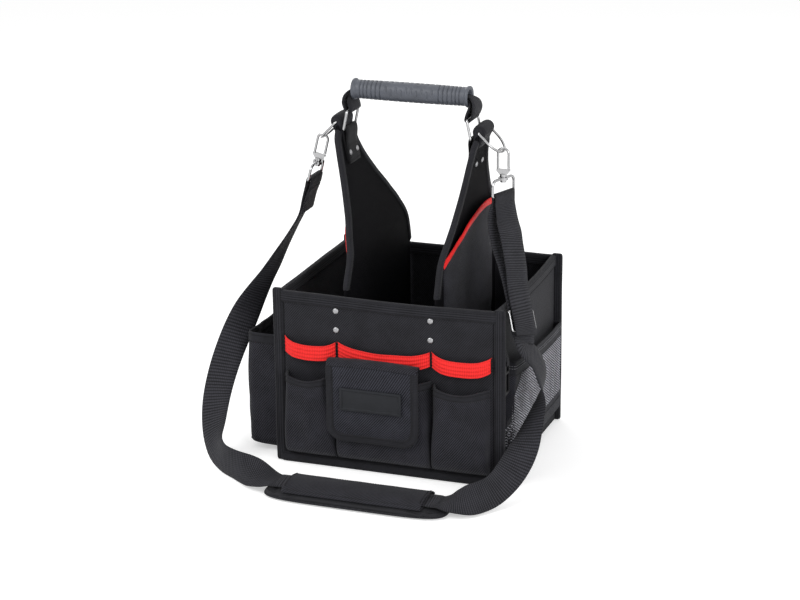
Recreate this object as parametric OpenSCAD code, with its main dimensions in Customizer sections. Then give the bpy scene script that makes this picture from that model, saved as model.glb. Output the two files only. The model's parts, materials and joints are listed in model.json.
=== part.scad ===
// Electrician's tote: an open fabric bucket with two wing panels that carry a rubber handle,
// outer pockets all round and a clip-on shoulder strap. +Z is up and +Y is the back.
// The origin is the middle of the base, on the floor. All sizes are millimetres.

/* [Body] */
// Width of the body across its corner bindings
body_w = 320; // [300:1:400]
// Depth of the body, front wall to back wall
body_d = 262; // [240:1:330]
// Height of the walls
body_h = 240; // [210:1:290]
// Thickness of a padded wall
wall_t = 5; // [3:0.5:6]
// Thickness of the stiff base
base_t = 6; // [4:1:10]
// How far a corner binding stands out past the side wall
fin_out = 10; // [6:1:14]
// Thickness of a corner binding
fin_t = 7; // [6:1:9]
// Height of the binding round the rim
rim_h = 16; // [10:1:24]
// Height of the smooth band round the foot of the walls
foot_h = 14; // [8:1:20]

/* [Dividers and wings] */
// Distance of each divider from the middle
divider_x = 64; // [50:1:78]
// Thickness of a divider
wing_t = 6; // [4:0.5:8]
// Height above the walls at which the wings start to lean outwards
bend_rise = 45; // [20:1:80]
// How far the wings lean outwards, in degrees
splay = 11.5; // [6:0.5:16]
// Length of the leaning part, up to the bar of the D-ring
wing_len = 168; // [140:1:200]
// Middle of the wing tops and handle, measured from the middle of the body
handle_y = -28; // [-45:1:0]
// Radius of the sleeve at a wing's top
sleeve_r = 10; // [8:0.5:12]
// Depth of the pocket on a wing's outer face
wing_pocket_t = 8; // [6:1:12]

/* [Handle] */
// Length of the rubber grip
grip_len = 160; // [120:1:165]
// Radius of the grip
grip_r = 12.3; // [11:0.1:15]
// Radius of the grip's bore
grip_bore_r = 8.5; // [7.5:0.1:9]
// Radius of the lip at each end of the grip
grip_lip_r = 14; // [13:0.5:17]
// Height of the grip above the top bars of its rings
grip_rise = 26; // [22:1:34]

/* [Rings and hooks] */
// Width of all the webbing that the rings and hooks take
webbing_w = 38; // [30:1:42]
// Wire radius of the rectangular rings
ring_wire_r = 1.75; // [1.25:0.25:2]
// Distance between the two long bars of a rectangular ring
ring_h = 27; // [24:1:34]
// Inward lean of a rectangular ring, in degrees
ring_lean = 12; // [6:1:16]
// Wire radius of the D-rings
dring_wire_r = 1.6; // [1.2:0.1:2]
// Depth of a D-ring from its bar to its bow
dring_depth = 38; // [34:1:44]
// Outward lean of the left hook, which its strap pulls sideways, in degrees
hook_lean = 14; // [0:1:20]
// Radius at the middle of the hook's wire bow
hook_bow_r = 7.2; // [6.4:0.1:9]
// Wire radius of the hook
hook_wire_r = 1.7; // [1.4:0.1:2]
// Wire radius of the hook's eye
eye_wire_r = 1.9; // [1.6:0.1:2.2]

/* [Pockets] */
// Thickness of a pocket's fabric
pocket_t = 2; // [1.2:0.2:3]
// Depth of the front pockets
pocket_depth = 18; // [12:1:26]
// Height of the top edge of the front pockets
pocket_top = 130; // [100:1:140]
// Width of the flap
flap_w = 126; // [100:1:130]
// Length of the flap, fold to free edge
flap_len = 112; // [90:1:120]
// Thickness of the flap
flap_t = 3.5; // [2:0.5:5]
// Height of the flap's fold
flap_z = 162; // [156:1:168]
// Height of the elastic tool band's top edge
band_top = 178; // [172:1:186]
// Height of the elastic tool band itself
band_h = 21; // [18:1:28]
// How far the band stands off the wall between its stitches
band_depth = 9; // [6:1:10]
// Depth of the big pocket on the left
left_pocket_depth = 62; // [40:1:80]
// Depth of the mesh pocket on the right
mesh_pocket_depth = 13; // [9:1:16]
// Rows of openings in the net
net_rows = 12; // [6:1:14]
// Columns of openings in the net
net_cols = 20; // [10:1:21]

/* [Shoulder strap] */
// Width of the strap
strap_w = 40; // [34:1:41]
// Thickness of the strap
strap_t = 1.8; // [1.4:0.1:2.2]
// Length of the shoulder pad
pad_len = 250; // [220:1:270]
// Width of the shoulder pad
pad_w = 70; // [60:1:80]
// Thickness of the pad's cushion
pad_t = 11; // [8:1:12]

/* [Hidden] */

black = [0.09, 0.09, 0.1];
charcoal = [0.15, 0.15, 0.17];
red = [0.85, 0.1, 0.08];
nickel = [0.75, 0.74, 0.72];
gap = 0.3;      // clearance between pieces that move or lie against each other
cut = 0.1;      // overshoot of a cutting shape
$fn = 48;

// body planes
bend_z = body_h + bend_rise;
side_x = body_w / 2 - fin_out;       // outer face of a side wall
front_y = -body_d / 2;               // outer face of the front wall
inner_y = body_d / 2 - wall_t;       // inner face of the front and back walls
panel_x = side_x - wall_t;           // inner face of the side walls, and edge of the front wall
flange_lip = 1;                      // how far a corner binding laps over the front wall
flange_y = body_d / 2 + flange_lip - fin_t;      // inner face of the corner bindings

// The right wing's leaning plane: local z runs up the wing, local x is outwards.
module on_wing() {
    translate([divider_x, 0, bend_z]) rotate([0, splay, 0]) children();
}
function wing_x(u, s) = divider_x + u * cos(splay) + s * sin(splay);
function wing_z(u, s) = bend_z + s * cos(splay) - u * sin(splay);

// D-ring bar, ring bars and grip axis on the right-hand side
dbar_x = wing_x(0, wing_len);
dbar_z = wing_z(0, wing_len);
tab_t = 2.2;
tab_eye_r = ring_wire_r + gap + tab_t;
ring_u = -(wing_t / 2 + gap + tab_eye_r);
ring_s = wing_len - 13;
rbar_x = wing_x(ring_u, ring_s);
rbar_z = wing_z(ring_u, ring_s);
rtop_x = rbar_x - ring_h * sin(ring_lean);
rtop_z = rbar_z + ring_h * cos(ring_lean);
grip_z = rtop_z + grip_rise;
ring_half = webbing_w / 2 + 1 + ring_wire_r;     // end bars of the rings, from the middle
dring_half = webbing_w / 2 + 1.5 + dring_wire_r;

// bow of the D-ring, which hangs 45 degrees outwards, where the hook sits
bow_x = dbar_x + dring_depth * cos(45);
bow_z = dbar_z - dring_depth * sin(45);

module both_sides(left) {
    if (left) mirror([1, 0, 0]) children();
    else children();
}

// ---------- body ----------
module wall_box(x0, x1, y0, y1, z0, z1) {
    translate([x0, y0, z0]) cube([x1 - x0, y1 - y0, z1 - z0]);
}
module base_panel() {
    color(black) wall_box(-side_x, side_x, front_y, -front_y, 0, base_t);
}
module front_wall() {
    color(charcoal) wall_box(-panel_x, panel_x, front_y, front_y + wall_t, base_t, body_h);
}
module back_wall() {
    color(charcoal) wall_box(-panel_x, panel_x, -front_y - wall_t, -front_y, base_t, body_h);
}
module right_wall() {
    color(charcoal) wall_box(panel_x, side_x, -inner_y, inner_y, base_t, body_h);
}
module left_wall() {
    mirror([1, 0, 0]) right_wall();
}
// A corner binding is a flat bound flange that stands out beside the side wall.
module corner_bindings() {
    color(black) for (mx = [0, 1], my = [0, 1]) mirror([mx, 0, 0]) mirror([0, my, 0])
        translate([panel_x, front_y - flange_lip, base_t]) difference() {
            union() {
                cube([wall_t + fin_out - fin_t / 2, fin_t, body_h + 2 - base_t]);
                translate([wall_t + fin_out - fin_t / 2, fin_t / 2, 0])
                    cylinder(r = fin_t / 2, h = body_h + 2 - base_t);
            }
            // the side wall's end stays clear of the flange
            translate([-cut, flange_lip + wall_t, -cut]) cube([wall_t + cut, fin_t, body_h + 3]);
        }
}
rim_skin = 1;
module rim_cap(len, along) {
    // an upside-down channel over a wall's top edge
    a = wall_t + 2 * rim_skin;
    difference() {
        translate(along == "x" ? [-len / 2, -a / 2, -rim_h] : [-a / 2, -len / 2, -rim_h])
            cube(along == "x" ? [len, a, rim_h + rim_skin] : [a, len, rim_h + rim_skin]);
        translate(along == "x" ? [-len / 2 - cut, -wall_t / 2, -rim_h - cut]
                               : [-wall_t / 2, -len / 2 - cut, -rim_h - cut])
            cube(along == "x" ? [len + 2 * cut, wall_t, rim_h + cut] : [wall_t, len + 2 * cut, rim_h + cut]);
    }
}
module rim_bindings() {
    color(black) {
        for (my = [0, 1]) mirror([0, my, 0])
            translate([0, front_y + wall_t / 2, body_h]) rim_cap(2 * panel_x, "x");
        for (mx = [0, 1]) mirror([mx, 0, 0])
            translate([side_x - wall_t / 2, 0, body_h]) rim_cap(2 * flange_y, "y");
    }
}
module foot_bands() {
    band_t = 2;
    color(black) {
        for (my = [0, 1]) mirror([0, my, 0])
            wall_box(-panel_x, panel_x, front_y - band_t, front_y, 0, foot_h);
        for (mx = [0, 1]) mirror([mx, 0, 0])
            wall_box(side_x, side_x + band_t, -flange_y, flange_y, 0, foot_h);
    }
}

// ---------- dividers with their wings ----------
// Half outlines of the leaning part, as distance along it from the bend, and depth in the bag.
wing_front = [[0, -107], [20, -98], [47, -83], [87, -70], [126, -64], [wing_len - 20, -60],
    [wing_len - 9, handle_y - webbing_w / 2 - 4], [wing_len, handle_y - webbing_w / 2]];
wing_back = [[wing_len, handle_y + webbing_w / 2], [wing_len - 9, handle_y + webbing_w / 2 + 4],
    [wing_len - 20, 2], [126, 10], [87, 41], [47, 78.5], [20, 101], [0, 113]];
function on_outline(list) = [for (p = list) [p[1], bend_z + p[0] * cos(splay)]];

module yz_plate(points, x0, x1) {
    // a plate with an outline in (y, z), between two x planes
    translate([x0, 0, 0]) rotate([90, 0, 90]) linear_extrude(x1 - x0) polygon(points);
}
// A layer that follows the wing: upright from z0, then leaning for the length s1. It lies between
// the offsets u0 and u1 from the wing's middle plane.
module bent_layer(u0, u1, z0, s1) {
    mitre = tan(splay / 2);
    rotate([90, 0, 0]) linear_extrude(body_d, center = true) polygon([[divider_x + u0, z0],
        [divider_x + u1, z0], [divider_x + u1, bend_z - u1 * mitre], [wing_x(u1, s1), wing_z(u1, s1)],
        [wing_x(u0, s1), wing_z(u0, s1)], [divider_x + u0, bend_z - u0 * mitre]]);
}
module wing(left) {
    edge = inner_y - gap;
    under_rim = body_h - rim_h - gap;
    low = [[edge - rim_skin, body_h + 4], [edge - rim_skin, under_rim], [edge, under_rim], [edge, base_t],
        [-edge, base_t], [-edge, under_rim], [-edge + rim_skin, under_rim], [-edge + rim_skin, body_h + 4]];
    color(charcoal) both_sides(left) difference() {
        union() {
            intersection() {
                bent_layer(-wing_t / 2, wing_t / 2, base_t, wing_len);
                yz_plate(concat(low, on_outline(wing_front), on_outline(wing_back)), 0, body_w / 2);
            }
            translate([dbar_x, handle_y - webbing_w / 2, dbar_z]) rotate([-90, 0, 0])
                cylinder(r = sleeve_r, h = webbing_w);
        }
        translate([dbar_x, handle_y - webbing_w / 2 - 8, dbar_z]) rotate([-90, 0, 0])
            cylinder(r = dring_wire_r + gap, h = webbing_w + 16);
    }
}
// Pocket on a wing's outer face, with its curved top edge above the rim.
wing_pocket_z = body_h - 90;
module wing_pocket(left) {
    half = 100;
    u0 = wing_t / 2;
    u1 = u0 + wing_pocket_t + pocket_t;
    rise = 70;
    outline = [[-half, wing_pocket_z], [half, wing_pocket_z], [half, bend_z], [94, bend_z + 20], [74, bend_z + 49],
        [30, bend_z + 57], [-10, bend_z + 56], [-46, bend_z + 47], [-76, bend_z + 29], [-92, bend_z + 12], [-half, bend_z]];
    hollow = [[-half + pocket_t, wing_pocket_z + pocket_t], [half - pocket_t, wing_pocket_z + pocket_t],
        [half - pocket_t, bend_z], [half - 9, bend_z + 20], [half - 20, bend_z + rise], [-half + 18, bend_z + rise],
        [-half + pocket_t, bend_z]];
    color(black) both_sides(left) difference() {
        intersection() {
            bent_layer(u0, u1, wing_pocket_z, rise);
            yz_plate(outline, 0, body_w / 2);
        }
        intersection() {
            bent_layer(u0 - cut, u1 - pocket_t, wing_pocket_z, rise + 1);
            yz_plate(hollow, 0, body_w / 2);
        }
    }
}
// Strip that is riveted to the wing's inner face and loops round the ring's lower bar.
module ring_tab(left) {
    foot_s = 112;
    color(black) both_sides(left) on_wing() difference() {
        union() {
            translate([-wing_t / 2 - tab_t, handle_y - webbing_w / 2, foot_s])
                cube([tab_t, webbing_w, ring_s - foot_s]);
            translate([ring_u, handle_y - webbing_w / 2, ring_s - tab_eye_r * 1.4])
                cube([-ring_u - wing_t / 2, webbing_w, tab_eye_r * 1.4]);
            translate([ring_u, handle_y - webbing_w / 2, ring_s]) rotate([-90, 0, 0])
                cylinder(r = tab_eye_r, h = webbing_w);
        }
        translate([ring_u, handle_y - webbing_w / 2 - 1, ring_s]) rotate([-90, 0, 0])
            cylinder(r = ring_wire_r + gap, h = webbing_w + 2);
    }
}
rivet_r = 3.5;
rivet_t = 1.2;
module tab_rivets() {
    // through the tab and the wing, a pair each side
    color(nickel) for (mx = [0, 1]) mirror([mx, 0, 0]) on_wing() for (dy = [-12, 12])
        for (face = [[-wing_t / 2 - tab_t - rivet_t, rivet_t], [wing_t / 2, rivet_t]])
            translate([face[0], handle_y + dy, 124]) rotate([0, 90, 0]) cylinder(r = rivet_r, h = face[1]);
}
module divider_rivets() {
    // on the front and back walls, where the dividers are fixed, a little to the left of each
    color(nickel) for (my = [0, 1], x = [-divider_x - 6, divider_x - 4], z = [body_h - 47, body_h - 20]) mirror([0, my, 0])
        translate([x, front_y, z]) rotate([90, 0, 0]) cylinder(r = rivet_r + 0.5, h = rivet_t);
}

// ---------- outer pockets ----------
// A sewn-on pocket, open at the top: its plan is a trapezium that stands off the wall.
module pocket_shell(x0, x1, z0, z1, depth, inset, t) {
    difference() {
        translate([0, 0, z0]) linear_extrude(z1 - z0)
            polygon([[x0, front_y], [x0 + inset, front_y - depth], [x1 - inset, front_y - depth], [x1, front_y]]);
        translate([0, 0, z0 + t]) linear_extrude(z1 - z0)
            polygon([[x0 + t, front_y + cut], [x0 + inset + t, front_y - depth + t],
                [x1 - inset - t, front_y - depth + t], [x1 - t, front_y + cut]]);
    }
}
seam_l = -divider_x - 4;      // stitched columns of the front, in line with the dividers' rivets
seam_r = divider_x - 2;
pocket_z0 = foot_h + 1;
module front_pocket_left() {
    color(charcoal) pocket_shell(-panel_x + 3, seam_l - 1, pocket_z0, pocket_top, pocket_depth, 5, pocket_t);
}
module front_pocket_center() {
    color(charcoal) pocket_shell(seam_l, seam_r, pocket_z0, pocket_top + 8, pocket_depth + 1.5, 6, pocket_t);
}
module front_pocket_right() {
    color(charcoal) pocket_shell(seam_r + 1, panel_x - 4, pocket_z0, pocket_top + 4, pocket_depth, 5, pocket_t);
}
module tool_band() {
    // elastic loops sewn down at the ends and at both columns
    t = 1.5;
    z0 = band_top - band_h;
    stops = [-panel_x + 1, seam_l + 3, seam_r - 1, panel_x - 1];
    color(red) for (k = [0:2]) difference() {
        translate([0, 0, z0]) linear_extrude(band_h) polygon([[stops[k], front_y],
            [stops[k] + 10, front_y - band_depth], [stops[k + 1] - 10, front_y - band_depth], [stops[k + 1], front_y]]);
        translate([0, 0, z0 - 1]) linear_extrude(band_h + 2) polygon([[stops[k] + 3, front_y + cut],
            [stops[k] + 11, front_y - band_depth + t], [stops[k + 1] - 11, front_y - band_depth + t],
            [stops[k + 1] - 3, front_y + cut]]);
    }
}
// Flap: its fold lies past the pocket's face, and it turns about that line.
flap_x = -13;                                     // middle of the flap
flap_y = front_y - pocket_depth - 1.5 - 3;        // back face of the flap
fold_r = flap_t / 2;
module flap_fold() {
    // the fixed cloth from the band out to the fold
    y_in = front_y - band_depth - gap;
    color(black) translate([flap_x - flap_w / 2, flap_y + gap, flap_z - 2])
        cube([flap_w, y_in - flap_y - gap, 2]);
}
module flap() {
    corner = 22;
    color(black) translate([flap_x, flap_y, 0]) rotate([90, 0, 0]) linear_extrude(flap_t) union() {
        translate([-flap_w / 2, flap_z - flap_len + corner]) square([flap_w, flap_len - corner]);
        translate([-flap_w / 2 + corner, flap_z - flap_len]) square([flap_w - 2 * corner, corner + 1]);
        for (sx = [-1, 1]) translate([sx * (flap_w / 2 - corner), flap_z - flap_len + corner]) circle(corner);
    }
}
patch_w = 85;
patch_h = 31;
patch_t = 2;
patch_z = flap_z - 53;
module flap_patch() {
    r = 4;
    color([0.12, 0.12, 0.13]) translate([flap_x - 1, flap_y - flap_t, patch_z]) rotate([90, 0, 0])
        linear_extrude(patch_t) union() {
            square([patch_w, patch_h - 2 * r], center = true);
            square([patch_w - 2 * r, patch_h], center = true);
            for (sx = [-1, 1], sy = [-1, 1]) translate([sx * (patch_w / 2 - r), sy * (patch_h / 2 - r)]) circle(r);
        }
}
tape_w = 50;
tape_h = 25;
tape_z = flap_z - flap_len + 12;
module flap_hook_tape() {
    color(black) translate([flap_x - tape_w / 2, flap_y, tape_z]) cube([tape_w, 1.2, tape_h]);
}
module flap_loop_tape() {
    y = front_y - pocket_depth - 1.5;
    color(charcoal) translate([flap_x - tape_w / 2, y - 1.2, tape_z - 4]) cube([tape_w, 1.2, tape_h + 8]);
}
module side_pocket_left() {
    // the big pocket, a plain box of cloth that hangs on the left wall
    y0 = -flange_y + 20;
    y1 = flange_y - 30;
    top = 166;
    foot = 8;
    t = 2.5;
    color(charcoal) difference() {
        wall_box(-side_x - left_pocket_depth, -side_x - 2, y0, y1, foot, top);
        wall_box(-side_x - left_pocket_depth + t, -side_x, y0 + t, y1 - t, foot + t, top + cut);
    }
    // its back lies on the wall above the foot band
    color(charcoal) wall_box(-side_x - 2, -side_x, y0, y1, foot_h, top - 4);
}
mesh_y0 = -flange_y + 25;
mesh_y1 = flange_y - 4;
mesh_top = 165;
mesh_drop = 16;       // how much lower the hem is at the back
mesh_hem = 22;
mesh_z0 = 50;
net_t = 1;
module mesh_pocket_frame() {
    x1 = side_x + mesh_pocket_depth;
    outline = [[mesh_y0, pocket_z0], [mesh_y1, pocket_z0], [mesh_y1, mesh_top - mesh_drop], [mesh_y0, mesh_top]];
    inner = [[mesh_y0 + pocket_t, pocket_z0 + pocket_t], [mesh_y1 - pocket_t, pocket_z0 + pocket_t],
        [mesh_y1 - pocket_t, mesh_top + 1], [mesh_y0 + pocket_t, mesh_top + 1]];
    window = [[mesh_y0 + 6, mesh_z0], [mesh_y1 - 6, mesh_z0], [mesh_y1 - 6, mesh_top - mesh_drop - mesh_hem],
        [mesh_y0 + 6, mesh_top - mesh_hem]];
    color(black) difference() {
        yz_plate(outline, side_x, x1);
        yz_plate(inner, side_x - cut, x1 - pocket_t);
        yz_plate(window, x1 - pocket_t - 1, x1 + 1);
    }
}
module mesh_net() {
    x1 = side_x + mesh_pocket_depth - 0.5;
    strand = 1.6;
    y0 = mesh_y0 + 6;
    y1 = mesh_y1 - 6;
    z1a = mesh_top - mesh_hem;
    z1b = mesh_top - mesh_drop - mesh_hem;
    pitch_y = (y1 - y0 - strand) / net_cols;
    function top_at(y) = z1a + (z1b - z1a) * (y - y0) / (y1 - y0);
    color([0.7, 0.71, 0.73]) translate([x1 - net_t, 0, 0]) rotate([90, 0, 90]) linear_extrude(net_t) difference() {
        polygon([[y0, mesh_z0], [y1, mesh_z0], [y1, z1b], [y0, z1a]]);
        for (i = [0:net_cols - 1], j = [0:net_rows - 1]) {
            ya = y0 + strand + i * pitch_y;
            yb = ya + pitch_y - strand;
            ha = (top_at(ya) - mesh_z0 - strand) / net_rows;
            hb = (top_at(yb) - mesh_z0 - strand) / net_rows;
            za = mesh_z0 + strand;
            polygon([[ya, za + j * ha], [yb, za + j * hb], [yb, za + (j + 1) * hb - strand],
                [ya, za + (j + 1) * ha - strand]]);
        }
    }
}
module back_pocket(left) {
    color(charcoal) both_sides(left) mirror([0, 1, 0])
        pocket_shell(6, panel_x - 4, pocket_z0, 150, 14, 5, pocket_t);
}
module tape_loop() {
    // a webbing loop sewn to the back, at the right-hand corner
    w = 25;
    t = 1.6;
    drop = 42;
    depth = 24;
    top = body_h - rim_h - 2;
    color(black) translate([94, -front_y, top]) rotate([90, 0, 90]) linear_extrude(w) difference() {
        union() {
            translate([0, -drop]) square([depth, drop]);
            translate([depth / 2, -drop]) circle(depth / 2);
        }
        translate([t, -drop]) square([depth - 2 * t, drop - t]);
        translate([depth / 2, -drop]) circle(depth / 2 - t);
    }
}
// Small clip that hangs from a tab beside the right front corner.
clip_x = side_x + 6;
clip_y = -flange_y + 11.5;
clip_z = 166;
clip_wire = 1.8;
clip_half = 6.6;       // middle of each leg, from the clip's middle
module clip_tab() {
    half = clip_half - clip_wire - 0.5;
    color(black) difference() {
        union() {
            wall_box(side_x, side_x + 2, clip_y - half, clip_y + half, clip_z, clip_z + 22);
            wall_box(side_x + 2, clip_x, clip_y - half, clip_y + half, clip_z, clip_z + 4);
            translate([clip_x, clip_y - half, clip_z]) rotate([-90, 0, 0]) cylinder(r = 4, h = 2 * half);
        }
        translate([clip_x, clip_y - half - 1, clip_z]) rotate([-90, 0, 0]) cylinder(r = clip_wire + gap, h = 2 * half + 2);
    }
}
module side_clip() {
    len = 38;
    half = clip_half;
    color([0.05, 0.05, 0.05]) translate([clip_x, clip_y, clip_z]) {
        translate([0, -half, 0]) rotate([-90, 0, 0]) cylinder(r = clip_wire, h = 2 * half);
        for (s = [-1, 1]) translate([-clip_wire, s * half - clip_wire, -len]) cube([2 * clip_wire, 2 * clip_wire, len + clip_wire]);
        translate([-clip_wire, -half - clip_wire, -len - 2 * clip_wire]) cube([2 * clip_wire, 2 * (half + clip_wire), 2 * clip_wire]);
        translate([-clip_wire, -half, -14]) cube([2 * clip_wire, 2 * half, 3]);
    }
}

// ---------- wire goods ----------
module rod(r, a, b) {
    // straight round bar between two points of the local y-z plane
    d = b - a;
    len = norm(d);
    translate([0, a[0], a[1]]) rotate([-atan2(d[0], d[1]), 0, 0]) cylinder(r = r, h = len);
}
module bend(r, centre, bend_r, from, turn) {
    // round bar bent in the local y-z plane; angles run from +y towards +z
    translate([0, centre[0], centre[1]]) rotate([90, 0, 90]) rotate([0, 0, from])
        rotate_extrude(angle = turn) translate([bend_r, 0]) circle(r);
}
// Closed wire frame with rounded corners, in the local y-z plane, lower bar at z = 0.
module wire_frame(half, high, r, corner) {
    rod(r, [-half + corner, 0], [half - corner, 0]);
    rod(r, [-half + corner, high], [half - corner, high]);
    for (s = [-1, 1]) rod(r, [s * half, corner], [s * half, high - corner]);
    bend(r, [half - corner, corner], corner, -90, 90);
    bend(r, [half - corner, high - corner], corner, 0, 90);
    bend(r, [-half + corner, high - corner], corner, 90, 90);
    bend(r, [-half + corner, corner], corner, 180, 90);
}
module rect_ring(left) {
    color(nickel) both_sides(left) translate([rbar_x, handle_y, rbar_z]) rotate([0, -ring_lean, 0])
        wire_frame(ring_half, ring_h, ring_wire_r, 3.5);
}
module d_ring(left) {
    arm = dring_depth - dring_half;
    color(nickel) both_sides(left) translate([dbar_x, handle_y, dbar_z]) rotate([0, 135, 0]) {
        corner = 3.5;
        rod(dring_wire_r, [-dring_half + corner, 0], [dring_half - corner, 0]);
        for (s = [-1, 1]) rod(dring_wire_r, [s * dring_half, corner], [s * dring_half, arm]);
        bend(dring_wire_r, [dring_half - corner, corner], corner, -90, 90);
        bend(dring_wire_r, [-dring_half + corner, corner], corner, 180, 90);
        bend(dring_wire_r, [0, arm], dring_half, 0, 180);
    }
}

// ---------- handle ----------
module handle_webbing() {
    eye_r = ring_wire_r + gap + tab_t;
    web = 4.4;                       // two layers of webbing
    in_tube_z = grip_z - 1;
    z_low = in_tube_z - web / 2;
    z_high = in_tube_z + web / 2;
    turn_x = rtop_x + 7;
    end_x = grip_len / 2;
    color(black) difference() {
        union() {
            intersection() {
                // side outline: up from each ring, round and into the tube
                rotate([90, 0, 0]) translate([0, 0, -handle_y - webbing_w]) linear_extrude(2 * webbing_w) union() {
                    for (m = [0, 1]) mirror([m, 0]) {
                        polygon([[rtop_x - eye_r, rtop_z], [rtop_x + eye_r, rtop_z], [turn_x + 1, grip_z - 13],
                            [turn_x + 1, grip_z - 5], [turn_x - 2, z_high - 1], [end_x, z_high], [end_x - 6, z_high],
                            [end_x - 6, z_low], [end_x + 2, z_low], [end_x + 3.5, grip_z - 7], [end_x + 2.5, grip_z - 16]]);
                    }
                    translate([-end_x, z_low]) square([2 * end_x, web]);
                }
                // front outline: full width at the rings, gathered inside the tube
                translate([-grip_len, handle_y, 0]) rotate([90, 0, 90]) linear_extrude(2 * grip_len)
                    polygon([[-webbing_w / 2, rtop_z - 9], [webbing_w / 2, rtop_z - 9], [webbing_w / 2, grip_z - 15],
                        [7, grip_z - 4], [7, grip_z + 8], [-7, grip_z + 8], [-7, grip_z - 4], [-webbing_w / 2, grip_z - 15]]);
            }
            for (s = [-1, 1]) translate([s * rtop_x, handle_y - webbing_w / 2, rtop_z]) rotate([-90, 0, 0])
                cylinder(r = eye_r, h = webbing_w);
        }
        for (s = [-1, 1]) translate([s * rtop_x, handle_y - webbing_w / 2 - 1, rtop_z]) rotate([-90, 0, 0])
            cylinder(r = ring_wire_r + 2 * gap, h = webbing_w + 2);
    }
}
module grip() {
    lip = 4;
    groove = 0.9;
    half = grip_len / 2;
    grooves = [for (k = [0:4]) -half + 14 + 6 * k];     // the grooves at one end; the other end mirrors them
    function ribs(places) = [for (z = places) for (p = [[-1.2, 0], [-0.5, -groove], [0.5, -groove], [1.2, 0]])
        [grip_r + p[1], z + p[0]]];
    color([0.2, 0.21, 0.23]) translate([0, handle_y, grip_z]) rotate([0, 90, 0]) rotate_extrude()
        polygon(concat([[grip_bore_r, -half], [grip_lip_r, -half], [grip_lip_r, -half + lip - 1.5], [grip_r, -half + lip + 1.5]],
            ribs(grooves), ribs([for (k = [4:-1:0]) -grooves[k]]),
            [[grip_r, half - lip - 1.5], [grip_lip_r, half - lip + 1.5], [grip_lip_r, half], [grip_bore_r, half]]));
}

// ---------- snap hooks ----------
// Local frame of a hook: the D-ring's bow crosses at the origin, and the hook hangs down -z.
bow_drop = hook_bow_r - hook_wire_r - dring_wire_r - gap;
leg_end = 24;
gate_top = bow_drop + 2;
neck_z = 31;
eye_plate_z = 34.3;
eye_plate_t = 3.4;
post_r = 2.4;
eye_half = strap_w / 2 + 0.6 + eye_wire_r;
eye_drop = 57;
module at_hook(left) {
    if (left) translate([-bow_x, handle_y, bow_z]) rotate([0, hook_lean, 0]) children();
    else translate([bow_x, handle_y, bow_z]) children();
}
module hook_body(left) {
    // bow, fixed leg, neck and swivel post
    color(nickel) at_hook(left) {
        translate([0, 0, -bow_drop]) rotate([90, 0, 0]) rotate_extrude(angle = 180) translate([hook_bow_r, 0]) circle(hook_wire_r);
        translate([-hook_bow_r, 0, -leg_end]) cylinder(r = hook_wire_r, h = leg_end - bow_drop);
        translate([hook_bow_r, 0, -bow_drop - 1.5]) cylinder(r = hook_wire_r, h = 1.5);
        translate([0, 2.5, 0]) rotate([90, 0, 0]) linear_extrude(5) polygon([[-hook_bow_r - 1.7, -leg_end],
            [hook_bow_r + 1.7, -leg_end], [hook_bow_r + 1.7, -leg_end - 2], [4.5, -neck_z], [-4.5, -neck_z],
            [-hook_bow_r - 1.7, -leg_end - 2]]);
        translate([0, 0, -eye_plate_z + gap]) cylinder(r = 4.5, h = eye_plate_z - gap - neck_z + 1);
        translate([0, 0, -eye_plate_z - eye_plate_t - gap - 3]) cylinder(r = post_r, h = eye_plate_t + 2 * gap + 4);
        translate([0, 0, -eye_plate_z - eye_plate_t - gap - 3]) cylinder(r = 4, h = 3);
    }
}
module hook_gate(left) {
    // sprung leg that swings into the hook, hinged at its foot
    color(nickel) at_hook(left) {
        translate([hook_bow_r, 0, -leg_end + gap + hook_wire_r]) cylinder(r = hook_wire_r, h = leg_end - gate_top - gap - hook_wire_r);
        translate([hook_bow_r, 1.7, -leg_end + gap + hook_wire_r]) rotate([90, 0, 0]) cylinder(r = hook_wire_r, h = 3.4);
    }
}
module hook_eye(left) {
    turn = left ? 0 : -20;           // the right eye is turned towards the front on its swivel
    shoulder = 8;                    // bends at the eye's top
    foot = 2.5;                      // bends beside the strap
    color(nickel) at_hook(left) rotate([0, 0, turn]) {
        difference() {
            union() {
                translate([0, 0, -eye_plate_z - eye_plate_t]) cylinder(r = 6.5, h = eye_plate_t);
                for (s = [-1, 1]) rod(eye_wire_r, [s * 5.6, -eye_plate_z - eye_plate_t / 2],
                    [s * (eye_half - shoulder), -eye_plate_z - eye_plate_t / 2]);
            }
            translate([0, 0, -eye_plate_z - eye_plate_t - cut]) cylinder(r = post_r + gap, h = eye_plate_t + 2 * cut);
        }
        high = -eye_plate_z - eye_plate_t / 2;
        bend(eye_wire_r, [eye_half - shoulder, high - shoulder], shoulder, 0, 90);
        bend(eye_wire_r, [-eye_half + shoulder, high - shoulder], shoulder, 90, 90);
        for (s = [-1, 1]) rod(eye_wire_r, [s * eye_half, -eye_drop + foot], [s * eye_half, high - shoulder]);
        bend(eye_wire_r, [eye_half - foot, -eye_drop + foot], foot, -90, 90);
        bend(eye_wire_r, [-eye_half + foot, -eye_drop + foot], foot, 180, 90);
        rod(eye_wire_r, [-eye_half + foot, -eye_drop], [eye_half - foot, -eye_drop]);
    }
}

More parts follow.
